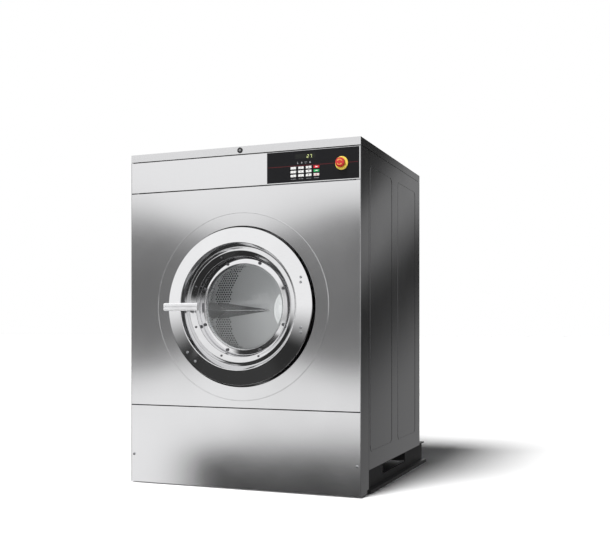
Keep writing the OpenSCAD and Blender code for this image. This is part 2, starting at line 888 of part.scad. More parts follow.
module drum_shaft() {
    spider_y = drum_back_y + drum_back_t;
    spider_w = 60;
    spider_room = 40;
    color("#7d8084") placed() facing(0, spider_y, axis_z) {
        cylinder(r = hub_r, h = spider_t);
        for (a = lifter_angles) rotate([0, 0, a]) translate([0, -spider_w / 2, 0])
            cube([drum_r - spider_room, spider_w, spider_t]);
        cylinder(r = shaft_r, h = pulley_y - spider_y);
        cylinder(r = shaft_nose_r, h = pulley_y + pulley_w + 8 - spider_y);
    }
}

// Elbow under the tub, ball housing and outlet pipe
module drain_valve() {
    color("#55585c") placed() difference() {
        union() {
            facing(0, drain_y - drain_r - 4, drain_z)
                cylinder(r = drain_pipe_r, h = cabinet_d + 2 - drain_y + drain_r + 4);
            facing(0, cabinet_d + 1, drain_z) cylinder(r = drain_r, h = drain_end_y - cabinet_d - 1);
            translate([0, drain_y, drain_z]) cylinder(r = drain_r, h = drain_top - drain_z);
            facing(0, ball_y - valve_half, drain_z) cylinder(r = valve_r, h = 2 * valve_half);
            block([-actuator_half, tub_back_y + 3, drain_z + valve_r - 12],
                  [actuator_half, ball_y + actuator_half, drain_z + valve_r + actuator_top]);
        }
        facing(0, drain_y - drain_r, drain_z)
            cylinder(r = drain_r - drain_t, h = drain_end_y - drain_y + 2 * drain_r);
        translate([0, drain_y, drain_z]) cylinder(r = drain_r - drain_t, h = drain_top - drain_z + join);
        translate([0, ball_y, drain_z]) sphere(r = ball_r + seat_gap);
        translate([0, ball_y, drain_z]) cylinder(r = stem_r + run_gap, h = valve_r + stem_len + 2);
    }
}

module drain_ball() {
    color("#c2c4c6") placed() translate([0, ball_y, drain_z]) {
        difference() {
            sphere(r = ball_r);
            facing(0, -ball_r - 1, 0) cylinder(r = drain_r - drain_t, h = 2 * ball_r + 2);
        }
        translate([0, 0, ball_r - 4]) cylinder(r = stem_r, h = valve_r - ball_r + stem_len);
    }
}

module inlet_valves() {
    body_r = 24;
    coil_r = 18;
    coil_y = 25;
    coil_h = 32;
    bore_d = 60;
    color("#3b6ea0") placed() for (x = inlet_xs) difference() {
        union() {
            facing(x, valve_y, inlet_z) cylinder(r = body_r, h = cabinet_d - sheet_t - valve_y);
            facing(x, cabinet_d - sheet_t - join, inlet_z) cylinder(r = inlet_r + 0.8, h = sheet_t + join);
            facing(x, cabinet_d - join, inlet_z) cylinder(r = inlet_r, h = inlet_len + join);
            translate([x, valve_y + coil_y, inlet_z]) cylinder(r = coil_r, h = body_r + coil_h);
        }
        facing(x, cabinet_d - 20, inlet_z) cylinder(r = inlet_r - 3.5, h = bore_d);
    }
}

module fill_hoses() {
    hose_y = lid_y - dispenser_rim + dispenser_d;
    color("#2b2c2e") placed() for (x = inlet_xs)
        facing(x, hose_y, inlet_z) pipe(hose_r, hose_r - hose_t, valve_y - hose_y);
}

// Box with four cups, open at the top, and its spout into the tub
module supply_dispenser() {
    low = [lid_x - lid_w / 2 - dispenser_rim, lid_y - dispenser_rim, dispenser_z];
    high = [lid_x + lid_w / 2 + dispenser_rim, low[1] + dispenser_d, cabinet_h - lid_t - seat_gap];
    mid = [lid_x, (low[1] + high[1]) / 2];
    color("#d9dadc") placed() difference() {
        union() {
            block(low, high);
            translate([lid_x, mid[1], axis_z]) cylinder(r = spout_r, h = dispenser_z - axis_z + join);
        }
        for (x = [[low[0] + dispenser_wall, mid[0] - dispenser_wall / 2],
                  [mid[0] + dispenser_wall / 2, high[0] - dispenser_wall]],
             y = [[low[1] + dispenser_wall, mid[1] - dispenser_wall / 2],
                  [mid[1] + dispenser_wall / 2, high[1] - dispenser_wall]])
            block([x[0], y[0], cup_floor_z], [x[1], y[1], cabinet_h]);
        facing(0, low[1], axis_z) cylinder(r = tub_r + seat_gap, h = dispenser_d, $fn = 144);
        translate([lid_x, mid[1], axis_z])
            cylinder(r = spout_r - 3, h = cup_floor_z - axis_z - dispenser_wall);
        for (x = inlet_xs)
            facing(x, high[1] - 2 * dispenser_wall, inlet_z)
                cylinder(r = hose_r - hose_t, h = 3 * dispenser_wall);
    }
}

// Bar with a groove along its front and a boss that takes the shaft
module door_handle() {
    half = handle_h / 2;
    edge = 5;
    groove = 3;
    color("#d3d5d8") placed() translate([0, 0, axis_z]) difference() {
        union() {
            translate([handle_ends[0], 0, 0]) rotate([90, 0, 90])
                linear_extrude(handle_ends[1] - handle_ends[0]) polygon([
                    [handle_y + handle_t, -half], [handle_y + edge, -half], [handle_y, -half + edge],
                    [handle_y, -groove / 2], [handle_y + groove, -groove / 2],
                    [handle_y + groove, groove / 2], [handle_y, groove / 2], [handle_y, half - edge],
                    [handle_y + edge, half], [handle_y + handle_t, half]
                ]);
            facing(handle_x, handle_y + handle_t - join, 0)
                cylinder(r = boss_r - 2, h = boss_y - seat_gap - handle_y - handle_t + join);
        }
        facing(handle_x, handle_y + groove + 3, 0)
            cylinder(r = handle_shaft_r + fit_gap, h = handle_t + handle_reach, $fn = 48);
    }
}

// Shaft behind the handle with the tongue that hooks behind the front panel
module handle_shaft() {
    shaft_y = handle_y + 7;
    color("#9fa2a6") placed() translate([handle_x, 0, axis_z]) {
        facing(0, shaft_y, 0)
            cylinder(r = handle_shaft_r, h = tongue_y + tongue_t - shaft_y, $fn = 48);
        translate([0, tongue_y, 0]) {
            facing(0, 0, 0) cylinder(r = 12, h = tongue_t, $fn = 48);
            rotate([0, -tongue_rest, 0]) translate([0, 0, -tongue_w / 2])
                cube([tongue_len, tongue_t, tongue_w]);
        }
    }
}

// Keeper plate and lock case on the back of the front panel
module door_lock() {
    keeper_x = -hole_r - 1;
    bolt_gap = 0.2;
    color("#6c6f73") placed() translate([0, 0, axis_z]) difference() {
        union() {
            block([lock_x[0], keeper_y, lock_z[0]], [lock_x[1], keeper_y + keeper_t + 52, lock_z[1]]);
            block([lock_x[1] - join, keeper_y, -tongue_w], [keeper_x, keeper_y + keeper_t, tongue_w]);
        }
        block([lock_x[0] + 20, tongue_y - bolt_gap, bolt_z - bolt_size / 2 - bolt_gap],
              [lock_x[1] + join, tongue_y + bolt_size + bolt_gap, bolt_z + bolt_size / 2 + bolt_gap]);
    }
}

module lock_bolt() {
    color("#b9bbbe") placed() translate([0, 0, axis_z])
        block([lock_x[0] + 40, tongue_y, bolt_z - bolt_size / 2],
              [lock_x[1] - 0.2, tongue_y + bolt_size, bolt_z + bolt_size / 2]);
}

// Arm that reaches round the ring's edge to the hinge pin
module hinge_arm() {
    difference() {
        linear_extrude(arm_h) union() {
            translate([pin_x, pin_y]) circle(r = knuckle_r, $fn = 48);
            polygon([
                [pin_x - pin_r / 2.5, pin_y - 3.7], [pin_x - arm_in + 2.4, pin_y + 10.3],
                [pin_x - arm_in, pin_y + 14], [pin_x - arm_in, arm_reach_y],
                [pin_x + arm_out, arm_reach_y], [pin_x + arm_out, pin_y + arm_back],
                [pin_x - arm_out, pin_y + arm_bend], [pin_x - arm_out, pin_y + arm_bend / 2],
                [pin_x + pin_r / 2.5, pin_y + 3.7]
            ]);
        }
        translate([pin_x, pin_y, -join]) cylinder(r = pin_r - join, h = arm_h + 2 * join, $fn = 48);
    }
}

module hinge_bracket() {
    color("#7a7d81") placed() translate([0, 0, axis_z]) {
        translate([0, 0, knuckle_half + arm_gap]) hinge_arm();
        translate([0, 0, -knuckle_half - arm_gap - arm_h]) hinge_arm();
        block([pin_x - arm_in, arm_reach_y - 14, -knuckle_half - arm_gap - join],
              [pin_x + arm_out, arm_reach_y, knuckle_half + arm_gap + join]);
        translate([pin_x, pin_y, -knuckle_half - arm_gap - arm_h])
            cylinder(r = pin_r, h = 2 * (knuckle_half + arm_gap + arm_h), $fn = 48);
    }
}

// Bar screwed to the ring's back, with the knuckle that turns on the pin
module hinge_leaf() {
    color("#8a8d91") placed() translate([0, 0, axis_z]) difference() {
        union() {
            block([leaf_x[0], pad_y, -leaf_half], [leaf_x[1], pad_y + leaf_t, leaf_half]);
            block([leaf_x[1] - join, pad_y, -knuckle_half], [pin_x, pad_y + leaf_t, knuckle_half]);
            translate([pin_x, pin_y, -knuckle_half]) cylinder(r = knuckle_r, h = 2 * knuckle_half, $fn = 48);
        }
        for (z = [-knuckle_half - arm_h - 2 * arm_gap - 1, knuckle_half])
            block([notch_x, pad_y - 1, z], [leaf_x[1] + 1, pad_y + leaf_t + 1, z + arm_h + 2 * arm_gap + 1]);
        translate([pin_x, pin_y, -knuckle_half - 1])
            cylinder(r = pin_r + run_gap, h = 2 * knuckle_half + 2, $fn = 48);
        for (z = hinge_screw_zs)
            facing(hinge_screw_x, pad_y - 1, z) cylinder(r = screw_r + 1 + run_gap, h = leaf_t + 2, $fn = 24);
    }
}

// Pressed ring with a sloping face, a rolled rim and pads behind for the hinge and the handle
module door_ring() {
    hinge_screw_r = screw_r + 1 + run_gap;
    color("#dfe1e4") placed() difference() {
        union() {
            turned([
                [cast_r, -lip_h + 1], [lip_r, -lip_h], [ring_r, -edge_h], [ring_r, -2], [ring_r - ring_t, -2],
                [ring_r - ring_t, ring_face(ring_r - ring_t) + ring_t], [pad_r, ring_face(pad_r) + ring_t],
                [cast_flange_r + 2, ring_face(cast_flange_r) + ring_t], [cast_flange_r, pad_y],
                [cast_r, pad_y]
            ], 144);
            intersection() {
                turned([
                    [cast_r, -lip_h + 1], [lip_r, -lip_h], [ring_r, -edge_h], [ring_r, pad_y],
                    [cast_r, pad_y]
                ], 144);
                translate([0, 0, axis_z])
                    block([cast_r, -2 * lip_h, -leaf_half - 4], [leaf_x[1] + 1, 0, leaf_half + 4]);
            }
            facing(handle_x, boss_y, axis_z) cylinder(r = boss_r, h = pad_y - boss_y, $fn = 64);
        }
        facing(handle_x, boss_y - join, axis_z)
            cylinder(r = handle_shaft_r + run_gap, h = lip_h, $fn = 48);
        for (z = hinge_screw_zs)
            facing(hinge_screw_x, -2 * lip_h, axis_z + z)
                cylinder(r = hinge_screw_r, h = 2 * lip_h, $fn = 24);
        for (a = catch_screw_angles)
            on_door(catch_screw_r, a, -2 * lip_h) cylinder(r = hinge_screw_r, h = 2 * lip_h, $fn = 24);
    }
}

// Cast funnel between the ring and the glass
module door_funnel() {
    color("#c4c6c9") placed() difference() {
        turned([
            [cast_r, -lip_h + 1.5], [throat_r, throat_y], [crest_r, crest_y], [pan_r + 3, wall_y],
            [pan_r, pan_lip_y], [pan_r, pan_floor_y],
            [glass_seat_r + seat_gap, pan_floor_y], [glass_seat_r + seat_gap, pan_back_y - 4],
            [floor_r, pan_back_y - 4], [floor_r, pan_back_y], [pan_out_r, pan_back_y],
            [pan_out_r, pan_lip_y + 4], [crest_r, cast_back_y], [cast_r, cast_back_y],
            [cast_r, pad_y + leaf_t], [cast_flange_r, pad_y + leaf_t], [cast_flange_r, pad_y], [cast_r, pad_y]
        ], 144);
        for (i = [0 : clamp_bolts - 1]) {
            on_door(stud_circle, first_bolt + i * 360 / clamp_bolts, -lip_h)
                cylinder(r = stud_r + run_gap, h = lip_h + pan_back_y, $fn = 24);
            on_door(clamp_bolt_r, first_bolt + i * 360 / clamp_bolts, pan_lip_y)
                cylinder(r = screw_r + run_gap, h = pan_back_y - pan_lip_y - 8, $fn = 24);
        }
        translate([0, 0, axis_z])
            block([cast_r + 1, pad_y - 1, -leaf_half - seat_gap],
                  [ring_r, pad_y + leaf_t + 1, leaf_half + seat_gap]);
        facing(handle_x, pad_y - 1, axis_z) cylinder(r = handle_shaft_r + 6, h = leaf_t + 2, $fn = 48);
    }
}

module glass_clamp() {
    color("#caccd0") placed() difference() {
        turned([
            [sight_r, pan_lip_y + 1], [sight_r + 1, pan_lip_y], [clamp_r, pan_lip_y],
            [clamp_r, pan_floor_y], [sight_r, pan_floor_y]
        ]);
        for (i = [0 : clamp_bolts - 1])
            on_door(clamp_bolt_r, first_bolt + i * 360 / clamp_bolts, pan_lip_y - 1)
                cylinder(r = screw_r + run_gap, h = pan_floor_y - pan_lip_y + 2, $fn = 24);
    }
}

// Studs in the funnel, bolts in the clamp ring and screws in the door ring
module door_fasteners() {
    stud_y = -5;
    screw_proud = 2;
    color("#b9bbbf") placed() {
        for (i = [0 : clamp_bolts - 1]) {
            on_door(stud_circle, first_bolt + i * 360 / clamp_bolts, stud_y)
                cylinder(r = stud_r, h = cast_back_y + 14, $fn = 24);
            on_door(clamp_bolt_r, first_bolt + i * 360 / clamp_bolts, pan_lip_y - 5) {
                cylinder(r = screw_r + 4, h = 5, $fn = 6);
                cylinder(r = screw_r, h = 20, $fn = 24);
            }
        }
        for (z = hinge_screw_zs)
            facing(hinge_screw_x, ring_face(norm([hinge_screw_x, z])) - screw_proud, axis_z + z)
                cylinder(r = screw_r + 1, h = 12, $fn = 24);
        for (a = catch_screw_angles)
            on_door(catch_screw_r, a, ring_face(catch_screw_r) - screw_proud)
                cylinder(r = screw_r + 1, h = 10, $fn = 24);
    }
}

// Depth below the rim of the bowl's front face at a radius
function bowl(r) = sqrt(bowl_sphere * bowl_sphere - r * r) - (bowl_sphere - bowl_depth);

module door_glass() {
    steps = 10;
    color("#a9b7bd", 0.4) placed() turned(concat(
        [[glass_r, glass_y + glass_t], [glass_r, glass_y]],
        [for (i = [0 : steps]) let (r = bowl_r * (1 - i / steps)) [r, glass_y + bowl(r)]],
        [for (i = [0 : steps]) let (r = bowl_r * i / steps) [r, glass_y + glass_t + bowl(r)]]
    ));
}

// Rubber channel round the rim of the glass
module glass_gasket() {
    lip_in_r = floor_r + 6;
    groove_r = glass_r + run_gap;
    color("#1e1e20") placed() turned([
        [lip_in_r, pan_floor_y], [glass_seat_r, pan_floor_y], [glass_seat_r, pan_back_y - 4],
        [lip_in_r, pan_back_y - 4], [lip_in_r, glass_y + glass_t + run_gap],
        [groove_r, glass_y + glass_t + run_gap], [groove_r, glass_y - run_gap],
        [lip_in_r, glass_y - run_gap]
    ]);
}

// Folded cover with the opening for the dispenser's lid and its rear hinge knuckles
module top_cover() {
    cut_back = lid_y + lid_d + 2 * lid_knuckle_r + lid_gap - lid_t;
    color("#8f9194") placed() {
        difference() {
            block([-half_w, 0, cover_z], [half_w, cabinet_d, cabinet_h]);
            block([-inner_w, sheet_t, cover_z - 1], [inner_w, cabinet_d - sheet_t, cabinet_h - sheet_t]);
            block([lid_x - lid_w / 2 - lid_gap, lid_y - lid_gap, cover_z],
                  [lid_x + lid_w / 2 + lid_gap, cut_back, cabinet_h + 1]);
            facing(0, -1, cover_z + cover_h / 2) cylinder(r = lock_r + run_gap, h = sheet_t + 2);
        }
        both_sides() cover_hinge_knuckle();
        lid_middle_knuckle(cut_back);
    }
}

// Moving knuckle of a top cover hinge
module cover_hinge_knuckle() {
    x_low = cover_hinge_x + cover_knuckle_w;
    x_high = x_low + cover_knuckle_w - arm_gap;
    difference() {
        union() {
            block([x_low, cabinet_d - join, cover_z + 2], [x_high, cabinet_d + 3, cabinet_h - 6]);
            translate([x_low, cover_pin_y, cover_pin_z]) rotate([0, 90, 0])
                cylinder(r = cover_knuckle_r, h = x_high - x_low);
            block([x_low, cabinet_d + 1, cover_pin_z], [x_high, cabinet_d + 3, cover_z + 3]);
        }
        translate([x_low - 1, cover_pin_y, cover_pin_z]) rotate([0, 90, 0])
            cylinder(r = cover_pin_r + run_gap, h = x_high - x_low + 2);
    }
}

// Knuckle and pin on the cover that the dispenser's lid turns on
module lid_middle_knuckle(cut_back) {
    half = grip_w / 2 - 10;
    pin_half = lid_w / 2 - 12;
    translate([lid_x, lid_pin_y, lid_pin_z]) rotate([0, 90, 0]) {
        translate([0, 0, -half]) cylinder(r = lid_knuckle_r, h = 2 * half, $fn = 24);
        translate([0, 0, -pin_half]) cylinder(r = lid_pin_r, h = 2 * pin_half, $fn = 24);
    }
    block([lid_x - half, lid_pin_y, cabinet_h - lid_t], [lid_x + half, cut_back + join, cabinet_h]);
}

module dispenser_lid() {
    half = grip_w / 2 - 10 + arm_gap;
    pin_half = lid_w / 2 - 10;
    color("#19191b") placed() translate([lid_x, 0, 0]) {
        difference() {
            union() {
                block([-lid_w / 2, lid_y, cabinet_h - lid_t],
                      [lid_w / 2, lid_y + lid_d - lid_t - 1, cabinet_h]);
                for (x = [-pin_half, half]) {
                    translate([x, lid_pin_y, lid_pin_z]) rotate([0, 90, 0])
                        cylinder(r = lid_knuckle_r, h = pin_half - half, $fn = 24);
                    block([x, lid_pin_y - lid_knuckle_r - 2, cabinet_h - lid_t],
                          [x + pin_half - half, lid_pin_y, cabinet_h]);
                }
            }
            translate([-lid_w, lid_pin_y, lid_pin_z]) rotate([0, 90, 0])
                cylinder(r = lid_pin_r + run_gap, h = 2 * lid_w, $fn = 24);
        }
        translate([0, lid_y + 6, cabinet_h - join]) linear_extrude(grip_h + join)
            rounded_square([-grip_w / 2, 0], [grip_w / 2, grip_d], 6);
    }
}

module lock_core() {
    head_y = -lock_proud;
    color("#1a1a1c") placed() translate([0, 0, cover_z + cover_h / 2]) {
        facing(0, head_y, 0) cylinder(r = lock_head_r, h = lock_proud);
        facing(0, head_y, 0) cylinder(r = lock_r, h = lock_tongue_y + lock_tongue_t + lock_proud);
        translate([0, lock_tongue_y, -5]) cube([lock_tongue_len, lock_tongue_t, 10]);
    }
}

base_frame();
front_frame();
side_panel_left();
side_panel_right();
front_panel();
lower_front_panel();
control_fascia();
control_overlay();
rear_panel();
cabinet_screws();
outer_tub();
door_gasket();
bearing_housing();
shaft_bearings();
shaft_seal();
drive_belts();
motor_housing();
motor_mount();
drain_valve();
drain_ball();
inlet_valves();
fill_hoses();
supply_dispenser();
control_box();
estop_collar();
estop_button();
door_lock();
lock_bolt();
hinge_bracket();
door_ring();
door_funnel();
glass_clamp();
door_fasteners();
door_glass();
glass_gasket();
hinge_leaf();
door_handle();
handle_shaft();
drum_shell();
drum_back();
drum_lifters();
drum_shaft();
drum_pulley();
motor_rotor();
motor_pulley();
top_cover();
lock_core();
dispenser_lid();
key_1();
key_2();
key_3();
key_4();
key_5();
key_6();
key_7();
key_8();
key_9();
key_10();
key_11();
key_12();
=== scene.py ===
# Industrial washing machine: a stainless cabinet on a black welded base, with a polished round
# door in front of a perforated drum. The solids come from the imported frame; this file gives
# them their finishes and the details that are too fine for the solids.
import bpy, bmesh, json, math
from mathutils import Matrix, Vector

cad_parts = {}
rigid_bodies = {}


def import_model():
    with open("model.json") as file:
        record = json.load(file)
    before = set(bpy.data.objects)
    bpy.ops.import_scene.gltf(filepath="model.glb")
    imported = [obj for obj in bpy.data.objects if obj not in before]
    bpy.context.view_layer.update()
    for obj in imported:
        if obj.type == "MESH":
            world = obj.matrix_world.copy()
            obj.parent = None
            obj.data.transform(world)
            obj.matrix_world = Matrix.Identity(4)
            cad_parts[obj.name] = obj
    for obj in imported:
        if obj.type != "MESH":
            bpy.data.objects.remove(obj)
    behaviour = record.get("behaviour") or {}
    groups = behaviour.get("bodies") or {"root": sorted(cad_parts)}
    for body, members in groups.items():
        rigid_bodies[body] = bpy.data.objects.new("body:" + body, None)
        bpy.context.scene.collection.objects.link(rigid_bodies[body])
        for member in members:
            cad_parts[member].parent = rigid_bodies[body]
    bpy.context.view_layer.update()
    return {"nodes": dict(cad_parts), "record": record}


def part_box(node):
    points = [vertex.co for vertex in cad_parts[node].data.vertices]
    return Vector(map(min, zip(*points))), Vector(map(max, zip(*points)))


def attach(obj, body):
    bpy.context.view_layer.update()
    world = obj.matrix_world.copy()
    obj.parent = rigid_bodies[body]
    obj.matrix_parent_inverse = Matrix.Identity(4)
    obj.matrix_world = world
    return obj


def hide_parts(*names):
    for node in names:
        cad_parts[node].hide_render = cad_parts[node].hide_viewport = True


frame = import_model()
solids = frame["nodes"]

# Studio. The camera stands low in front of the machine, a little to its right, and looks level;
# the lens is shifted up so that uprights stay upright. The floor and the backdrop are white.
mm = 0.001
front_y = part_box("front_panel")[0].y
joints = {joint["name"]: joint for joint in frame["record"]["behaviour"]["joints"]}
axis_z = joints["drum_spin"]["pos_m"][2]
axis_up = axis_z / mm


def new_object(name, data):
    item = bpy.data.objects.new(name, data)
    bpy.context.collection.objects.link(item)
    return item


camera_data = bpy.data.cameras.new("studio_camera")
camera_data.sensor_width = 36
camera_data.lens = 51.49
camera_data.shift_y = 0.0942
camera_data.clip_end = 300
camera = new_object("studio_camera", camera_data)
camera.location = (1.5716, -3.7713, 0.6616)
camera.rotation_euler = (math.radians(90), 0, math.radians(21.4))
bpy.context.scene.camera = camera
bpy.context.scene.view_settings.view_transform = "Standard"


def lamp(name, kind, place, target, energy, size):
    lamp_data = bpy.data.lights.new(name, kind)
    lamp_data.energy = energy
    if kind == "SUN":
        lamp_data.angle = math.radians(size)
    else:
        lamp_data.size = size
    item = new_object(name, lamp_data)
    item.location = place
    item.rotation_euler = (Vector(target) - Vector(place)).to_track_quat("-Z", "Y").to_euler()
    item.visible_glossy = False
    item.visible_camera = False


lamp("ceiling_light", "SUN", (-0.66, -1.9, 3.0), (0, 0, 0), 4.1, 20)
lamp("front_light", "SUN", (0.5, -3.0, 0.16), (0, 0, 0), 1.3, 20)
lamp("drum_light", "AREA", (-0.02, front_y + 0.16, axis_z + 0.09), (-0.15, 0.4, axis_z + 0.06), 2.1, 0.26)


def feed(sockets, values):
    for label, value in values.items():
        socket = sockets[label]
        if isinstance(value, bpy.types.NodeSocket):
            socket.id_data.links.new(value, socket)
        else:
            socket.default_value = value


def new_node(kind, values, tree=None, **settings):
    # a node that others feed joins their tree
    if tree is None:
        tree = next(value.id_data for value in values.values() if isinstance(value, bpy.types.NodeSocket))
    node = tree.nodes.new(kind)
    for label, value in settings.items():
        setattr(node, label, value)
    feed(node.inputs, values)
    return node.outputs


def calc(operation, *values):
    return new_node("ShaderNodeMath", dict(enumerate(values)), operation=operation)[0]


def product(value, *others):
    for other in others:
        value = calc("MULTIPLY", value, other)
    return value


def total(value, *others):
    for other in others:
        value = calc("ADD", value, other)
    return value


def minus(a, b):
    return calc("SUBTRACT", a, b)


def between(share, a, b):
    rise = new_node("ShaderNodeMath", {0: b, 1: a}, share.id_data, operation="SUBTRACT")[0]
    return total(a, product(share, rise))


def ranged(value, low, high, start=0.0, end=1.0, curve="LINEAR"):
    values = {"Value": value, "From Min": low, "From Max": high, "To Min": start, "To Max": end}
    return new_node("ShaderNodeMapRange", values, interpolation_type=curve)["Result"]


def fade(value, low, high, start=0, end=1):
    return ranged(value, low, high, start, end, "SMOOTHSTEP")


world = bpy.data.worlds.new("studio")
bpy.context.scene.world = world
world.use_nodes = True
sky = world.node_tree
sky.nodes.clear()
ray = new_node("ShaderNodeSeparateXYZ", {0: new_node("ShaderNodeTexCoord", {}, sky)["Generated"]})
height = product(calc("ARCSINE", ray["Z"]), math.degrees(1))
turn = product(calc("ARCTAN2", ray["X"], product(ray["Y"], -1.0)), math.degrees(1))
# what polished metal sees, by the ray's height and its turn to the right, in degrees: a bright
# room that darkens towards the floor, with a glint far below for the door's lower edges
glint = product(fade(ray["Y"], -0.16, -0.06, 0, 0.85), fade(ray["Z"], -0.5, -0.6))
room = total(fade(height, -14, 3, 0.03, 0.95), glint)
# a grey band low in front of the machine, which widens to the right and is narrower at one turn
spread = product(total(turn, 32.0), 0.045)
waist = ranged(calc("ABSOLUTE", total(turn, 25.5)), 0.0, 6.5, 2.0, 0.0)
above_foot = minus(total(height, product(spread, 0.5)), waist)
below_head = total(minus(height, spread), waist)
band = product(fade(above_foot, -3.4, -2.2), fade(below_head, 8.4, 6.4))
low_corner = product(fade(height, -7.1, -8.1), fade(turn, -31, -27.5))
ahead = between(low_corner, between(band, 0.97, 0.17), 0.04)
ahead = between(fade(height, -12.5, -16), ahead, 0.045)
in_front = product(fade(turn, -48, -42), fade(turn, -8, -14))
# beside the machine, a dark wall with a slanted light patch, up to where the cover's top looks
slant = minus(height, product(minus(turn, 163.2), 1.1))
patch = product(fade(slant, 2.4, 5.6, 0, 0.24), fade(slant, 9.8, 8.2))
wall = total(patch, 0.035, fade(slant, 1.1, -6.0, 0, 0.155))
wall = product(wall, fade(turn, 161.2, 164.6, 0.72, 1.12))
at_side = product(fade(turn, 132, 142), fade(turn, 182, 172), fade(height, 26, 40, 1, 0))
mirrored = between(at_side, between(in_front, room, ahead), wall)
ray_kind = new_node("ShaderNodeLightPath", {}, sky)
level = between(ray_kind["Is Glossy Ray"], 0.03, mirrored)
level = between(ray_kind["Is Camera Ray"], level, 1.0)
backdrop = new_node("ShaderNodeBackground", {"Color": (1, 1, 1, 1), "Strength": level})
new_node("ShaderNodeOutputWorld", {0: backdrop[0]})


def blank_material(name, **constants):
    material = bpy.data.materials.new(name)
    material.use_nodes = True
    shader = material.node_tree.nodes["Principled BSDF"]
    feed(shader.inputs, {label.replace("_", " "): value for label, value in constants.items()})
    return material, shader


floor_half = 90
floor_corners = [(floor_half * x, floor_half * y, 0) for x, y in ((-1, -1), (1, -1), (1, 1), (-1, 1))]
floor_mesh = bpy.data.meshes.new("studio_floor")
floor_mesh.from_pydata(floor_corners, [], [(0, 1, 2, 3)])
floor_mesh.materials.append(blank_material("studio_floor", Base_Color=(0.95, 0.95, 0.95, 1), Roughness=1.0,
                                           Specular_IOR_Level=0.0)[0])
floor_object = new_object("studio_floor", floor_mesh)
floor_object.visible_glossy = False


# Base: welded steel channels and plates in black powder coat. The coat has a fine orange peel
# and holds some floor dust on its lower faces.
def effect(name, inputs, outputs):
    tree = bpy.data.node_groups.new(name, "ShaderNodeTree")
    for label, value in inputs.items():
        kind = {3: "Vector", 4: "Color"}[len(value)] if isinstance(value, tuple) else "Float"
        socket = tree.interface.new_socket(name=label, in_out="INPUT", socket_type="NodeSocket" + kind)
        socket.default_value = value
    for label in outputs:
        kind = "Color" if label == "Colour" else "Float"
        tree.interface.new_socket(name=label, in_out="OUTPUT", socket_type="NodeSocket" + kind)
    return tree, tree.nodes.new("NodeGroupInput").outputs, tree.nodes.new("NodeGroupOutput").inputs


def blend_colours(share, a, b):
    return new_node("ShaderNodeMix", {"Factor": share, 6: a, 7: b}, data_type="RGBA")[2]


def place_in(tree):
    return new_node("ShaderNodeTexCoord", {}, tree)["Object"]


def noise(place, scale, detail=3.0):
    return new_node("ShaderNodeTexNoise", {"Vector": place, "Scale": scale, "Detail": detail})["Fac"]


def surface(given, result, share, rub, relief):
    colour = blend_colours(share, given["Dark"], given["Light"])
    roughness = between(rub, given["Smoothest"], given["Roughest"])
    feed(result, {"Colour": colour, "Roughness": roughness, "Height": relief})


surface_results = ("Colour", "Roughness", "Height")
coating, given, result = effect(
    "painted or moulded skin", {"Light": (1, 1, 1, 1), "Dark": (0, 0, 0, 1), "Peel": 300.0, "Blotch": 6.0,
                                "Smoothest": 0.3, "Roughest": 0.5}, surface_results)
blotch = ranged(noise(place_in(coating), given["Blotch"], 5.0), 0.3, 0.7)
surface(given, result, blotch, blotch, noise(place_in(coating), given["Peel"]))


def tone(value, blue):
    # a plain number is a grey that leans a little to blue
    return (*value, 1) if isinstance(value, tuple) else (value, value, round(value + blue, 3), 1)


def finish_of(name, tree, light, dark, rough, values, bump, depth, **constants):
    material, shader = blank_material(name, Base_Color=light, Roughness=rough[0], **constants)
    values |= {"Light": light, "Dark": dark, "Smoothest": rough[0], "Roughest": rough[1]}
    group = new_node("ShaderNodeGroup", values, material.node_tree, node_tree=tree)
    relief = new_node("ShaderNodeBump", {"Strength": bump, "Distance": depth, "Height": group["Height"]})
    feed(shader.inputs, {"Base Color": group["Colour"], "Roughness": group["Roughness"], "Normal": relief[0]})
    return material


def skin(name, light, dark, peel, blotch, rough, bump, depth=0.0001, **constants):
    return finish_of(name, coating, tone(light, 0.001), tone(dark, 0.001), rough,
                     {"Peel": peel, "Blotch": blotch}, bump, depth, **constants)


dusting, given, result = effect(
    "dust near the floor",
    {"Colour": (0, 0, 0, 1), "Dust": (0.3, 0.29, 0.27, 1), "Reach": 0.08, "Amount": 0.35}, ("Colour",))
lift = new_node("ShaderNodeSeparateXYZ", {0: place_in(dusting)})["Z"]
settled_dust = product(ranged(lift, 0.0, given["Reach"], given["Amount"], 0.0),
                       noise(place_in(dusting), 22.0, 6.0))
feed(result, {"Colour": blend_colours(settled_dust, given["Colour"], given["Dust"])})


def add_dust(material, reach, amount):
    colour = material.node_tree.nodes["Principled BSDF"].inputs["Base Color"]
    under = colour.links[0].from_socket
    values = {"Reach": reach, "Amount": amount, "Colour": under}
    dusted = new_node("ShaderNodeGroup", values, node_tree=dusting)
    colour.id_data.links.new(dusted["Colour"], colour)


def dress(material, *names):
    for name in names:
        for holder in solids[name].material_slots:
            holder.material = material


def add_piece(name, mesh, material, body, slot, *stands_for):
    if not mesh.materials:
        mesh.materials.append(material)
    item = new_object(name, mesh)
    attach(item, body)
    if stands_for:
        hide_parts(*stands_for)
    return item


def baked(name, draft):
    bpy.context.view_layer.update()
    plain = bpy.data.meshes.new_from_object(draft.evaluated_get(bpy.context.evaluated_depsgraph_get()))
    plain.name = name
    source = draft.data
    bpy.data.objects.remove(draft)
    bpy.data.batch_remove([source])
    return plain


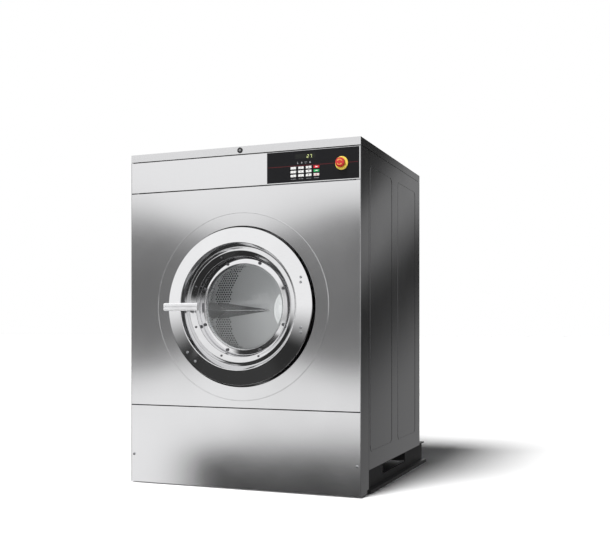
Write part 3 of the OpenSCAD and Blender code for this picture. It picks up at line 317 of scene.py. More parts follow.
def settled(name, work, round_edges=0.0, turns=2):
    mesh = bpy.data.meshes.new(name + "_draft")
    work.to_mesh(mesh)
    work.free()
    mesh.shade_smooth()
    draft = new_object(name + "_draft", mesh)
    if round_edges:
        bevel = draft.modifiers.new("rounded_edges", "BEVEL")
        bevel.width = round_edges
        bevel.segments = turns
        bevel.limit_method = "ANGLE"
        bevel.angle_limit = math.radians(30)
    flats = draft.modifiers.new("flat_faces", "WEIGHTED_NORMAL")
    flats.weight = 100
    return baked(name, draft)


def eased(node, round_edges, material, body, slot, turns=2):
    work = bmesh.new()
    work.from_mesh(solids[node].data)
    bmesh.ops.remove_doubles(work, verts=work.verts, dist=2e-6)
    bmesh.ops.dissolve_limit(work, angle_limit=math.radians(0.4), verts=work.verts, edges=work.edges)
    for face in work.faces:
        face.material_index = 0
    return add_piece(node + "_dressed", settled(node, work, round_edges, turns), material, body, slot, node)


base_coat = skin("base_powder_coat", 0.014, 0.006, 900, 4, (0.38, 0.55), 0.25, 0.0004,
                 Specular_IOR_Level=0.25)
add_dust(base_coat, 0.06, 0.06)
eased("base_frame", 0.0012, base_coat, "cabinet", "base_paint")
dress(base_coat, "motor_mount")


# Cabinet sheets: brushed stainless steel, bright in front and darker at the sides, where a darker copy of the
# front's steel paints shade on the sideways faces. Each sheet is folded, so its outer edges are rounded, and
# the beads are pressed out of it.
grain, given, result = effect(
    "brushed metal", {"Light": (1, 1, 1, 1), "Dark": (0, 0, 0, 1), "Stretch": (600.0, 600.0, 6.0),
                      "Smudge": 2.5, "Smoothest": 0.15, "Roughest": 0.25}, surface_results)
pulled = {0: place_in(grain), 1: given["Stretch"]}
lines = noise(new_node("ShaderNodeVectorMath", pulled, operation="MULTIPLY")[0], 1.0, 4.0)
smudge = ranged(noise(place_in(grain), given["Smudge"], 4.0), 0.3, 0.7)
surface(given, result, total(product(lines, 0.6), product(smudge, 0.4)), smudge, lines)


def brushed(name, light, dark, stretch=(500, 500, 5), smudge=2.5, rough=(0.15, 0.25), bump=0.03, metal=1.0):
    # a plain number as the stretch is a finish without a direction
    stretch = stretch if isinstance(stretch, tuple) else (stretch, stretch, stretch)
    return finish_of(name, grain, tone(light, 0.01), tone(dark, 0.01), rough,
                     {"Stretch": stretch, "Smudge": smudge}, bump, 0.0001, Metallic=metal)


# gives the chosen faces a second material, a copy in another tone that paints light and shade onto them
def add_painted_light(item, material, chosen):
    item.data.materials.append(material)
    for face in item.data.polygons:
        if chosen(face):
            face.material_index = 1


front_steel = brushed("front_stainless", 0.84, 0.78, rough=(0.09, 0.13))
# a darker copy of the front steel: painted shade for the cabinet's sideways faces
side_steel = brushed("side_stainless_painted_shade", 0.52, 0.46, rough=(0.09, 0.13))
cover_steel = brushed("cover_stainless", 0.8, 0.72, rough=(0.14, 0.2))
galvanised = brushed("galvanised_sheet", (0.52, 0.53, 0.55), (0.38, 0.39, 0.41), 60, 9, (0.32, 0.48), 0.06)
for panel in ("front_panel", "lower_front_panel", "control_fascia"):
    eased(panel, 0.0009, front_steel, "cabinet", "front_steel")

# the sloping faces of the beads: light at the front edges, a painted highlight, and dark elsewhere, painted
# shade
bead_painted_shade = brushed("bead_painted_shade", (0.05, 0.05, 0.052), (0.04, 0.04, 0.041), rough=(0.25, 0.35))
bead_painted_highlight = brushed("bead_painted_highlight", (0.2, 0.2, 0.205), (0.16, 0.16, 0.165), rough=(0.25, 0.35))
bead_height, second_bead, bead_w = 1.02 * mm, front_y + 0.546, 0.008
for panel in ("side_panel_left", "side_panel_right"):
    sheet = eased(panel, 0.0007, side_steel, "cabinet", "side_steel").data
    sheet.materials.append(bead_painted_shade)
    sheet.materials.append(bead_painted_highlight)
    bead_foot = max(abs(vertex.co.x) for vertex in sheet.vertices) - bead_height
    front_bead = min(vertex.co.y for vertex in sheet.vertices if abs(vertex.co.x) > bead_foot + 0.9 * mm)
    for face in sheet.polygons:
        if abs(face.normal.x) < 0.995 and abs(face.center.x) > bead_foot:
            leading = min(abs(face.center.y - front_bead), abs(face.center.y - second_bead)) < bead_w
            face.material_index = 2 if leading else 1
eased("front_frame", 0.0007, side_steel, "cabinet", "frame_steel")
eased("rear_panel", 0.0006, galvanised, "cabinet", "rear_steel", 1)
cover = eased("top_cover", 0.0009, cover_steel, "cover", "cover_steel")
# the cover's side flanges take the darker side steel: painted shade on the sideways faces of one sheet
add_painted_light(cover, side_steel, lambda face: abs(face.normal.x) > 0.8)


# Control overlay: a black membrane on the fascia with a printed red line, a smoked display
# window, four small symbols over the keys and a row of fine marks under them.
def spot(x, y, z):
    return Vector((x * mm, front_y + y * mm, z * mm))


def prisms(outlines, y_front, y_back):
    work = bmesh.new()
    for outline in outlines:
        front = [work.verts.new(spot(x, y_front, z)) for x, z in outline]
        back = [work.verts.new(spot(x, y_back, z)) for x, z in outline]
        work.faces.new(front)
        work.faces.new(back[::-1])
        for i in range(len(outline)):
            j = (i + 1) % len(outline)
            work.faces.new((front[j], front[i], back[i], back[j]))
    bmesh.ops.recalc_face_normals(work, faces=work.faces)
    return work


def rounded_rectangle(x, z, width, depth, corner, steps=5):
    points = []
    for quarter, (sx, sz) in enumerate(((1, 1), (-1, 1), (-1, -1), (1, -1))):
        for k in range(steps + 1):
            a = math.radians(90 * (quarter + k / steps))
            points.append((x + sx * (width / 2 - corner) + corner * math.cos(a),
                           z + sz * (depth / 2 - corner) + corner * math.sin(a)))
    return points


def disc(x, z, radius, steps=20):
    return [(x + radius * math.cos(math.tau * k / steps), z + radius * math.sin(math.tau * k / steps))
            for k in range(steps)]


def arc_band(x, z, radius, width, start, end, steps=14):
    turns = [math.radians(start + (end - start) * k / steps) for k in range(steps + 1)]
    outer = [(x + radius * math.cos(a), z + radius * math.sin(a)) for a in turns]
    inner = [(x + (radius - width) * math.cos(a), z + (radius - width) * math.sin(a)) for a in turns]
    return outer + inner[::-1]


def moved(outline, x, z):
    return [(x + px, z + pz) for px, pz in outline]


def shaped(name, work, material, body, slot, *stands_for):
    return add_piece(name, settled(name, work), material, body, slot, *stands_for)


overlay_low, overlay_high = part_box("control_overlay")
overlay_y = (overlay_low.y - front_y) / mm
print_y = (overlay_y - 0.12, overlay_y + 0.05)
membrane = skin("membrane_black", 0.008, 0.006, 1400, 5, (0.28, 0.36), 0.12, Specular_IOR_Level=0.16)
dress(membrane, "control_overlay")
line_red = skin("printed_red", (0.075, 0.013, 0.015), (0.055, 0.01, 0.012), 1400, 9, (0.3, 0.4), 0.1,
                Specular_IOR_Level=0.2)
mark_grey = skin("printed_grey", (0.34, 0.34, 0.35), (0.27, 0.27, 0.28), 1400, 9, (0.3, 0.4), 0.1)
window_smoke = skin("display_window", (0.014, 0.015, 0.014), (0.01, 0.011, 0.01), 30, 3, (0.06, 0.1), 0.02,
                    Specular_IOR_Level=0.14)
digit_glow = skin("display_digits", (0.55, 0.6, 0.25), (0.45, 0.5, 0.2), 500, 20, (0.3, 0.4), 0.05,
                  Emission_Color=(0.75, 0.85, 0.35, 1), Emission_Strength=0.9)

line_z, line_w, line_gap = 1326.5, 2.6, 4
line_low, line_high = line_z - line_w / 2, line_z + line_w / 2
stop_low, stop_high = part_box("estop_collar")
stop_x = (stop_low.x + stop_high.x) / 2 / mm
stop_z = (stop_low.z + stop_high.z) / 2 / mm
stop_gap = (stop_high.x - stop_low.x) / 2 / mm + 3
stretches = [(overlay_low.x / mm + line_gap, stop_x - stop_gap),
             (stop_x + stop_gap, overlay_high.x / mm - line_gap)]
red_line = [[(a, line_low), (b, line_low), (b, line_high), (a, line_high)] for a, b in stretches]
shaped("overlay_red_line", prisms(red_line, *print_y), line_red, "cabinet", "overlay_black")

keys = {name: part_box(name) for name in (f"key_{i}" for i in range(1, 13))}
key_columns = sorted({round((low.x + high.x) / 2, 4) for low, high in keys.values()})
key_rows = sorted({round((low.z + high.z) / 2, 4) for low, high in keys.values()}, reverse=True)
window_x, window_z = key_columns[0] / mm + 52, 1364
window = prisms([rounded_rectangle(window_x, window_z, 88, 19, 2.5)], overlay_y - 0.4, overlay_y + 0.05)
add_piece("display_window", settled("display_window", window, 0.00015, 1), window_smoke, "cabinet",
          "overlay_black")

# the bars of a digit that are used: left edge, lower edge in half heights, whether it lies flat
bars = {"top": (0, 2, True), "upper_right": (1, 1, False), "middle": (0, 1, True),
        "lower_left": (0, 0, False), "lower_right": (1, 0, False), "bottom": (0, 0, True)}
lit = {"2": ("top", "upper_right", "middle", "lower_left", "bottom"),
       "7": ("top", "upper_right", "lower_right")}


def digit(character, x, z, width=6.6, tall=12.4, slant=0.12):
    outlines = []
    thick = 0.17 * width
    for bar in lit[character]:
        across, up, lies = bars[bar]
        start = Vector((across * width, up * tall / 2))
        along = Vector((width, 0)) if lies else Vector((0, tall / 2))
        side = Vector((-along.y, along.x)).normalized() * thick / 2
        tip = along.normalized() * thick / 2
        a, b = start + tip * 0.35, start + along - tip * 0.35
        corners = (a, a + tip + side, b - tip + side, b, b - tip - side, a + tip - side)
        outlines.append([(x + p.x + slant * p.y, z + p.y) for p in corners])
    return outlines


digits = prisms(digit("2", window_x + 7, window_z - 8) + digit("7", window_x + 20, window_z - 8),
                overlay_y - 0.55, overlay_y - 0.3)
shaped("display_digits", digits, digit_glow, "cabinet", "overlay_black")

symbol_z, symbol_pitch, tick_z = 1338.5, 18, 1273.5
thermometer = [disc(0, -3, 1.7), rounded_rectangle(0, 0.8, 1.6, 6.4, 0.7)]
drop = [[(0, 4.2), (-2.6, -0.6), (-2.4, -2.4), (-1.2, -3.6), (1.2, -3.6), (2.4, -2.4), (2.6, -0.6)]]
spiral = [arc_band(0, 0, 4.0, 0.9, 20, 300), [(4.9, 1.9), (1.9, 1.9), (3.6, -0.8)]]
padlock = [rounded_rectangle(0, -1.4, 5.4, 4.4, 0.6), arc_band(0, 1.0, 2.3, 0.8, 0, 180)]
symbols = [moved(outline, key_columns[0] / mm + 18.5 + symbol_pitch * k, symbol_z)
           for k, mark in enumerate((thermometer, drop, spiral, padlock)) for outline in mark]
ticks = [rounded_rectangle(x / mm + shift, tick_z, width, 1.6, 0.5)
         for x in key_columns for shift, width in ((-7, 5), (0, 4), (7, 6))]
shaped("overlay_symbols", prisms(symbols + ticks, *print_y), mark_grey, "cabinet", "overlay_black")


# Keys: twelve moulded caps through the membrane, white with grey legends, and in the last
# column one red, one green and one pale. Every legend rides on its own cap.
key_colours = {
    "white": ((0.62, 0.62, 0.61), (0.55, 0.55, 0.54)), "red": ((0.58, 0.03, 0.035), (0.48, 0.02, 0.03)),
    "green": ((0.03, 0.36, 0.11), (0.02, 0.28, 0.08)), "pale": ((0.62, 0.54, 0.53), (0.55, 0.47, 0.46))}
key_plastics = {name: skin(f"key_{name}", *tones, 900, 12, (0.25, 0.35), 0.15)
                for name, tones in key_colours.items()}
ink_colours = {
    "ink": ((0.07, 0.07, 0.075), (0.05, 0.05, 0.055)), "white": ((0.8, 0.8, 0.78), (0.72, 0.72, 0.7)),
    "red": ((0.42, 0.03, 0.03), (0.34, 0.02, 0.02))}
inks = {name: skin(f"legend_{name}", *tones, 900, 12, (0.4, 0.5), 0.1)
        for name, tones in ink_colours.items()}
ink_on = {"red": inks["white"], "green": inks["white"], "pale": inks["red"], "white": inks["ink"]}
legends = [["1", "2", "up", "stop"], ["3", "4", "down", "start"], ["5", "6", "dot", "hold"]]
legend_outlines = {
    "up": [[(-3.4, -2.2), (3.4, -2.2), (0, 2.8)]],
    "down": [[(-3.4, 2.2), (0, -2.8), (3.4, 2.2)]],
    "dot": [disc(0, 0, 2.4), rounded_rectangle(0, 3.6, 4.6, 0.9, 0.3)],
    "stop": [rounded_rectangle(0, 0, 8.5, 3.4, 0.5)],
    "start": [[(-5.5, -1.1), (1.2, -1.1), (1.2, -3), (6, 0), (1.2, 3), (1.2, 1.1), (-5.5, 1.1)]],
    "hold": [[(-3.2, -2.4), (3.2, -2.4), (0, 2.8)]]}


def lettering(name, text, size, centre, y_front, thick):
    curve = bpy.data.curves.new(name, "FONT")
    curve.body = text
    curve.size = size * mm
    curve.align_x = "CENTER"
    curve.align_y = "CENTER"
    curve.extrude = thick * mm / 2
    plain = baked(name, new_object(name + "_draft", curve))
    plain.transform(Matrix.Translation(spot(centre[0], y_front + thick / 2, centre[1]))
                    @ Matrix.Rotation(math.pi / 2, 4, "X"))
    plain.materials.clear()
    return plain


for name, (low, high) in keys.items():
    x, z = (low.x + high.x) / 2, (low.z + high.z) / 2
    column, row = key_columns.index(round(x, 4)), key_rows.index(round(z, 4))
    colour = "white" if column < 3 else ("red", "green", "pale")[row]
    eased(name, 0.0008, key_plastics[colour], name + "_cap", "key_" + colour, 3)
    mark = legends[row][column]
    face_y = (low.y - front_y) / mm
    if mark in legend_outlines:
        outlines = [moved(outline, x / mm, z / mm) for outline in legend_outlines[mark]]
        legend = settled(name + "_legend", prisms(outlines, face_y - 0.08, face_y + 0.1))
    else:
        legend = lettering(name + "_legend", mark, 8, (x / mm, z / mm), face_y - 0.08, 0.16)
    add_piece(name + "_legend", legend, ink_on[colour], name + "_cap", "key_" + colour)


# Emergency stop: a yellow collar and a red mushroom head with a knurled edge and two twist
# arrows on its face. The head travels 4 mm into the collar.
def rounded_outline(points, steps):
    # a point is a radius, a depth behind the cabinet's front and, where it is eased, how far
    outline = []
    for i, (r, y, *ease) in enumerate(points):
        here = Vector((r, y))
        if not ease:
            outline.append(here)
            continue
        to_before = Vector(points[i - 1][:2]) - here
        to_after = Vector(points[(i + 1) % len(points)][:2]) - here
        start = here + to_before.normalized() * min(ease[0], 0.45 * to_before.length)
        end = here + to_after.normalized() * min(ease[0], 0.45 * to_after.length)
        for k in range(steps + 1):
            t = k / steps
            outline.append(start * (1 - t) ** 2 + here * 2 * t * (1 - t) + end * t * t)
    return outline


def turned(points, sides, centre=(0, axis_up), first=0.0, sweep=360.0, steps=4, grip=0, grip_depth=0.0):
    outline = rounded_outline(points, steps)
    whole = sweep == 360.0
    work = bmesh.new()
    rings = []
    for k in range(sides if whole else sides + 1):
        a = math.radians(first + sweep * k / sides)
        swell = 1 + grip_depth * math.cos(grip * a)
        across, up = swell * math.cos(a), swell * math.sin(a)
        places = [spot(centre[0] + r * across, y, centre[1] + r * up) for r, y in outline]
        rings.append([work.verts.new(place) for place in places])
    for k in range(sides):
        near, far = rings[k], rings[(k + 1) % len(rings)]
        for i in range(len(outline)):
            j = (i + 1) % len(outline)
            work.faces.new((near[i], near[j], far[j], far[i]))
    if not whole:
        work.faces.new(rings[0])
        work.faces.new(rings[-1][::-1])
    bmesh.ops.remove_doubles(work, verts=work.verts, dist=1e-7)
    bmesh.ops.dissolve_degenerate(work, edges=work.edges, dist=1e-7)
    bmesh.ops.recalc_face_normals(work, faces=work.faces)
    return work


stop_yellow = skin("stop_yellow", (0.74, 0.56, 0.09), (0.66, 0.49, 0.07), 700, 10, (0.22, 0.32), 0.12,
                   Coat_Weight=0.3)
stop_red = skin("stop_red", (0.46, 0.02, 0.018), (0.38, 0.014, 0.014), 700, 10, (0.2, 0.3), 0.12,
                Coat_Weight=0.3)
arrow_ink = skin("arrow_ink", (0.62, 0.4, 0.08), (0.52, 0.32, 0.06), 700, 10, (0.35, 0.45), 0.1)
stop_centre = (stop_x, stop_z)
stem_r = 11
collar_r = (stop_high.x - stop_low.x) / 2 / mm
collar_y, collar_foot_y = (stop_low.y - front_y) / mm, (stop_high.y - front_y) / mm
collar = turned([(stem_r + 0.1, collar_y + 1, 0.3), (collar_r - 9, collar_y, 1), (collar_r - 3, collar_y, 2),
                 (collar_r, collar_y + 2.6, 1.5), (collar_r, collar_foot_y), (stem_r + 0.1, collar_foot_y)],
                96, stop_centre)
shaped("stop_collar", collar, stop_yellow, "cabinet", "stop_yellow", "estop_collar")
head_low, head_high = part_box("estop_button")
head_r = (head_high.x - head_low.x) / 2 / mm
head_y = (head_low.y - front_y) / mm
neck_y = head_y + 16
stem_y = (head_high.y - front_y) / mm
head = turned([(0, head_y + 0.2), (head_r - 7, head_y, 3), (head_r - 1.5, head_y + 2.4, 2),
               (head_r - 0.3, head_y + 5, 1), (head_r - 0.3, neck_y - 2, 1), (head_r - 2, neck_y, 1),
               (stem_r, neck_y, 0.6), (stem_r, stem_y, 0.4), (0, stem_y)],
              144, stop_centre, grip=36, grip_depth=0.012)
shaped("stop_head", head, stop_red, "stop_button", "stop_red", "estop_button")
arrows = []
arrow_sweep = 95
for start in (25, 205):
    arrows.append(arc_band(*stop_centre, 11.2, 2.2, start, start + arrow_sweep))
    tip_turn = math.radians(start + arrow_sweep)
    heading = Vector((-math.sin(tip_turn), math.cos(tip_turn)))
    outward = Vector((math.cos(tip_turn), math.sin(tip_turn)))
    root = Vector(stop_centre) + outward * 10.1
    arrows.append([root + outward * 3.0, root + heading * 5.5, root - outward * 3.0])
shaped("stop_arrows", prisms(arrows, head_y, head_y + 0.8), arrow_ink, "stop_button", "stop_red")


# Top: the cover's key lock in its front face, and the black lid of the supply dispenser with a
# raised grip. Both are moulded, with softly rounded edges.
def joined(*works):
    whole = bmesh.new()
    for work in works:
        part = bpy.data.meshes.new("part")
        work.to_mesh(part)
        work.free()
        whole.from_mesh(part)
        bpy.data.meshes.remove(part)
    return whole


black_plastic = skin("black_plastic", 0.016, 0.011, 800, 8, (0.3, 0.42), 0.2, 0.0002)
lock_steel = brushed("lock_barrel", 0.55, 0.42, 300, 30, (0.25, 0.35), 0.05)
lock_low, lock_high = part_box("lock_core")
lock_r = 12
lock_x, lock_z = lock_centre = (lock_low.x / mm + lock_r, joints["key_lock_turn"]["pos_m"][2] / mm)
lock_y, lock_back_y = (lock_low.y - front_y) / mm, (lock_high.y - front_y) / mm
lock_case = turned([
    (5.2, lock_y + 1.4), (5.6, lock_y + 0.2, 0.3), (9, lock_y, 0.8), (lock_r, lock_y + 1.2, 0.8),
    (lock_r, 0, 0.2), (10, 0), (10, lock_back_y, 0.5), (0, lock_back_y), (0, lock_y + 1.4)], 64, lock_centre)
lock_tongue = prisms([[(0, lock_z - 5), (30, lock_z - 5), (30, lock_z + 5), (0, lock_z + 5)]],
                     lock_back_y - 3, lock_back_y)
shaped("cover_lock", joined(lock_case, lock_tongue), black_plastic, "key_lock", "lock_case", "lock_core")
lock_plug = turned([
    (0, lock_y + 0.5), (4.4, lock_y + 0.5, 0.4), (5.1, lock_y + 1.2, 0.2), (5.1, lock_y + 2.5),
    (0, lock_y + 2.5)], 48, lock_centre)
shaped("cover_lock_plug", lock_plug, lock_steel, "key_lock", "lock_case")
# the keyway is a thin black patch on the plug's face: painted shade in place of the opening
keyway_painted_shade = prisms([rounded_rectangle(lock_x, lock_z, 1.3, 5.6, 0.5)], lock_y + 0.42, lock_y + 0.9)
shaped("cover_lock_slot", keyway_painted_shade, membrane, "key_lock", "lock_case")
eased("dispenser_lid", 0.0007, black_plastic, "lid", "lid_black")


# Repeats: bolts, studs, screws, louvre hoods and perforations are each one small mesh that a
# node tree sets out in rings, rows or a hexagonal field, and then turns into plain mesh.
def pattern(name, *numbers, **others):
    tree = bpy.data.node_groups.new(name, "GeometryNodeTree")
    tree.interface.new_socket(name="Geometry", in_out="INPUT", socket_type="NodeSocketGeometry")
    common = {"Count": "Int", "Item": "Object", "Finish": "Material"}
    for label, kind in (common | others | dict.fromkeys(numbers, "Float")).items():
        tree.interface.new_socket(name=label, in_out="INPUT", socket_type="NodeSocket" + kind)
    tree.interface.new_socket(name="Geometry", in_out="OUTPUT", socket_type="NodeSocketGeometry")
    given = tree.nodes.new("NodeGroupInput").outputs
    points = new_node("GeometryNodePoints", {"Count": given["Count"]})[0]
    return tree, given, points, new_node("GeometryNodeInputIndex", {}, tree)[0]


def vector_of(*parts):
    return new_node("ShaderNodeCombineXYZ", dict(enumerate(parts)))[0]


def place_items(given, points, place, rotation=None, outside=None):
    stream = new_node("GeometryNodeSetPosition", {"Geometry": points, "Position": place})[0]
    if outside is not None:
        dropped = {"Geometry": stream, "Selection": outside}
        stream = new_node("GeometryNodeDeleteGeometry", dropped, domain="POINT")[0]
    source = new_node("GeometryNodeObjectInfo", {"Object": given["Item"], "As Instance": True})
    copies = {"Points": stream, "Instance": source["Geometry"]}
    if rotation is not None:
        copies["Rotation"] = rotation
    copies = new_node("GeometryNodeInstanceOnPoints", copies)
    real = new_node("GeometryNodeRealizeInstances", {0: copies[0]})
    coated = new_node("GeometryNodeSetMaterial", {"Geometry": real[0], "Material": given["Finish"]})
    new_node("NodeGroupOutput", {0: coated[0]})


def on_circle(radius, turn, along=0.0):
    place = vector_of(product(radius, calc("COSINE", turn)), along, product(radius, calc("SINE", turn)))
    return place, vector_of(0.0, product(turn, -1.0), 0.0)


def staggered(columns, index):
    row = calc("FLOOR", calc("DIVIDE", index, columns))
    return row, calc("MODULO", index, columns), product(calc("MODULO", row, 2.0), 0.5)


def patterned(name, tree, item_mesh, finish, place, **settings):
    item = new_object(name + "_item", item_mesh)
    draft = new_object(name + "_draft", bpy.data.meshes.new(name + "_draft"))
    nodes = draft.modifiers.new("pattern", "NODES")
    nodes.node_group = tree
    values = settings | {"Item": item, "Finish": finish}
    for socket in tree.interface.items_tree:
        if socket.in_out == "INPUT" and socket.name in values:
            nodes[socket.identifier] = values[socket.name]
    plain = baked(name, draft)
    bpy.data.objects.remove(item)
    plain.transform(Matrix.Translation(place))
    return plain


def add_pattern(name, tree, item_mesh, finish, place, body, slot, **settings):
    add_piece(name, patterned(name, tree, item_mesh, finish, place, **settings), finish, body, slot)


ring_pattern, given, points, index = pattern("ring of items", "Radius", "First", "Step")
item_turn = total(given["First"], product(index, given["Step"]))
place_items(given, points, *on_circle(given["Radius"], item_turn))

row_pattern, given, points, index = pattern("row of items", Step="Vector")
scaled_step = new_node("ShaderNodeVectorMath", {0: given["Step"], "Scale": index}, operation="SCALE")
place_items(given, points, scaled_step[0])

field, given, points, index = pattern("field of holes", "Pitch", "Inner", "Outer", Columns="Int")
row, column, half_step = staggered(given["Columns"], index)
middle = product(given["Columns"], 0.5)
across = product(total(minus(column, middle), half_step), given["Pitch"])
upward = product(minus(row, middle), product(given["Pitch"], math.sin(math.radians(60))))
reach = calc("SQRT", total(product(across, across), product(upward, upward)))
off_field = total(calc("LESS_THAN", reach, given["Inner"]), calc("GREATER_THAN", reach, given["Outer"]))
place_items(given, points, vector_of(across, 0.0, upward), None, off_field)

shell_pattern, given, points, index = pattern("rows round a shell", "Radius", "Step", Columns="Int")
row, column, half_step = staggered(given["Columns"], index)
item_turn = product(total(column, half_step), calc("DIVIDE", math.tau, given["Columns"]))
place_items(given, points, *on_circle(given["Radius"], item_turn, product(row, given["Step"])))


def at_origin(name, work):
    bmesh.ops.translate(work, verts=work.verts, vec=-spot(0, 0, 0))
    return settled(name, work)


# Rear sheet's louvres: each slot has a hood pressed outwards over it. Sheet screws with a low
# domed head and a cross recess hold this sheet and the lower front panel.
cabinet_back, hood_half = 950, 92
hood_line = [(0, 16), (2.2, 14.4), (4.4, 10.5), (5.4, 5), (5.6, -1)]
hood_swells = [(-hood_half, 0.05), (-hood_half + 3, 0.7), (-hood_half + 9, 1), (0, 1), (hood_half - 9, 1),
               (hood_half - 3, 0.7), (hood_half, 0.05)]
hood = bmesh.new()
hood_cuts = [[hood.verts.new((x * mm, out * swell * mm, up * mm)) for out, up in hood_line]
             for x, swell in hood_swells]
for near, far in zip(hood_cuts, hood_cuts[1:]):
    for i in range(len(near) - 1):
        hood.faces.new((near[i], near[i + 1], far[i + 1], far[i]))
bmesh.ops.solidify(hood, geom=hood.faces[:] + hood.edges[:] + hood.verts[:], thickness=0.0008)
bmesh.ops.recalc_face_normals(hood, faces=hood.faces)
louvre_hood = settled("louvre_hood", hood)
for side, x in (("left", -210), ("right", 210)):
    add_pattern(f"louvre_hoods_{side}", row_pattern, louvre_hood, galvanised, spot(x, cabinet_back, 420),
                "cabinet", "rear_steel", Count=8, Step=Vector((0, 0, 32 * mm)))

zinc = brushed("zinc_plated", (0.66, 0.67, 0.69), (0.5, 0.51, 0.53), 200, 60, (0.22, 0.32), 0.05)
recess_painted_shade = skin("recess_painted_shade", 0.02, 0.012, 900, 30, (0.5, 0.6), 0.1)
screw_head = at_origin("screw_head", turned([
    (0, -2.2), (2.6, -2.0, 1), (5.2, -1.0, 1), (6, -0.2, 0.3), (6, 0), (3, 0), (3, 16), (0, 16)],
    32, (0, 0), steps=2))
# the cross recess is a black cross laid just proud of the dome: painted shade in place of the recess
cross = [rounded_rectangle(0, 0, 5.4, 1.1, 0.3), rounded_rectangle(0, 0, 1.1, 5.4, 0.3)]
cross_recess = at_origin("cross_recess", prisms(cross, -2.26, -1.6))
front_pair = {"Count": 2, "Step": Vector((1.02, 0, 0))}
rear_row = {"Count": 4, "Step": Vector((0, 0, 0.34))}
for part, material, source, *stands_for in (("heads", zinc, screw_head, "cabinet_screws"),
                                            ("recesses", recess_painted_shade, cross_recess)):
    from_back = source.copy()
    from_back.transform(Matrix.Rotation(math.pi, 4, "Z"))
    work = bmesh.new()
    work.from_mesh(patterned("screw_row", row_pattern, source, material, spot(-510, 0, 125), **front_pair))
    for x in (-514, 514):
        work.from_mesh(patterned("screw_row", row_pattern, from_back, material, spot(x, cabinet_back, 160),
                                 **rear_row))
    shaped("sheet_screw_" + part, work, material, "cabinet", "screw_steel", *stands_for)


# Door ring: a pressed ring of polished steel with a rolled outer edge and a lip towards the
# funnel. Pads behind it carry the hinge on the right and the handle's shaft on the left.
mirror_steel = brushed("mirror_stainless", 0.9, 0.82, (40, 40, 400), 5, (0.05, 0.09), 0.006)
lip_r, ring_r, lip_y, edge_y = 264, 327, -32, -19


def ring_face(r):
    return lip_y + (r - lip_r) * (edge_y - lip_y) / (ring_r - lip_r)


ring = turned([
    (262, -30.8, 0.5), (lip_r, lip_y, 1.2), (ring_r, edge_y, 3.2), (ring_r, -2, 0.7), (ring_r - 2, -2, 0.4),
    (ring_r - 2, ring_face(ring_r - 2) + 2.4, 2), (282, ring_face(282) + 2, 1), (278, -18, 0.5),
    (262, -18, 0.5)], 256)
pad = bmesh.new()
pad_across, pad_up, pad_w, pad_h, pad_back_y = 6, 14, 29, 252, -18
pad_xs = [lip_r + pad_w * k / pad_across for k in range(pad_across + 1)]
pad_zs = [-pad_h / 2 + pad_h * k / pad_up for k in range(pad_up + 1)]
front = [[pad.verts.new(spot(x, ring_face(math.hypot(x, z)) + 1, z + axis_up)) for z in pad_zs]
         for x in pad_xs]
back = [[pad.verts.new(spot(x, pad_back_y, z + axis_up)) for z in pad_zs] for x in pad_xs]
for face in (front, back):
    for i in range(pad_across):
        for j in range(pad_up):
            pad.faces.new((face[i][j], face[i + 1][j], face[i + 1][j + 1], face[i][j + 1]))
for i in (0, pad_across):
    for j in range(pad_up):
        pad.faces.new((front[i][j], front[i][j + 1], back[i][j + 1], back[i][j]))
for j in (0, pad_up):
    for i in range(pad_across):
        pad.faces.new((front[i][j], front[i + 1][j], back[i + 1][j], back[i][j]))
bmesh.ops.recalc_face_normals(pad, faces=pad.faces)
handle_x = joints["handle_turn"]["pos_m"][0] / mm
boss = turned([(8.2, -30.4, 0.4), (16, -30.4, 1.5), (17.2, -18), (8.2, -18)], 64, (handle_x, axis_up))
shaped("door_ring_pressed", joined(ring, pad, boss), mirror_steel, "door", "ring_chrome", "door_ring")


# Funnel: a polished casting that leads from the ring to the glass. A bright roll, a rounded
# crest, a slope with a fine step and a steep wall follow each other inwards.
funnel_steel = brushed("polished_casting", 0.84, 0.72, 30, 14, (0.06, 0.12), 0.02)
funnel = turned([
    (262, -30.6, 0.6), (257.5, -20, 4), (250, -3.6, 3), (247, -3.4, 2), (241, -5.2, 3), (231.5, -8.2, 2.5),
    (217, 2.4), (216, 4.2), (209, 8.2, 2.5), (206, 34), (206, 42.2), (190.3, 42.2), (190.3, 56),
    (178, 56, 0.5), (178, 60, 0.5), (211, 60, 1), (211, 38, 2), (231, 8, 4), (262, 8, 1)], 256)
# the flange behind the ring leaves out the side where the hinge's pad sits
flange = turned([(262, -18), (278, -18, 0.6), (278, -12, 0.6), (262, -12)], 220, first=27.5, sweep=305.0)
shaped("door_funnel_cast", joined(funnel, flange), funnel_steel, "door", "funnel_steel", "door_funnel")


# Glass: a pressed bowl that bulges into the drum. A rubber channel holds its rim, and a dished
# clamp ring presses it on with eight hexagonal bolts; eight studs stand on the funnel's slope.
clear_glass, glass_shader = blank_material("door_glass", Base_Color=(0.93, 0.96, 0.95, 1), Roughness=0.02,
                                           IOR=1.47, Transmission_Weight=1.0)
film, given, result = effect("film on glass", {"Clean": 0.01, "Filmed": 0.05}, ("Roughness",))
film_cover = ranged(noise(place_in(film), 9.0, 5.0), 0.45, 0.7)
feed(result, {"Roughness": between(film_cover, given["Clean"], given["Filmed"])})
glass_tree = clear_glass.node_tree
filmed = new_node("ShaderNodeGroup", {}, glass_tree, node_tree=film)
feed(glass_shader.inputs, {"Roughness": filmed["Roughness"]})
glass_ray = new_node("ShaderNodeLightPath", {}, glass_tree)
reflected_ray = product(glass_ray["Is Glossy Ray"], minus(1.0, glass_ray["Is Transmission Ray"]))
open_to = calc("MAXIMUM", glass_ray["Is Shadow Ray"], reflected_ray)
open_to = calc("MAXIMUM", open_to, glass_ray["Is Diffuse Ray"])
see_through = new_node("ShaderNodeBsdfTransparent", {}, glass_tree)[0]
pass_light = new_node("ShaderNodeMixShader", {0: open_to, 1: glass_shader.outputs[0], 2: see_through})
feed(glass_tree.nodes["Material Output"].inputs, {"Surface": pass_light[0]})

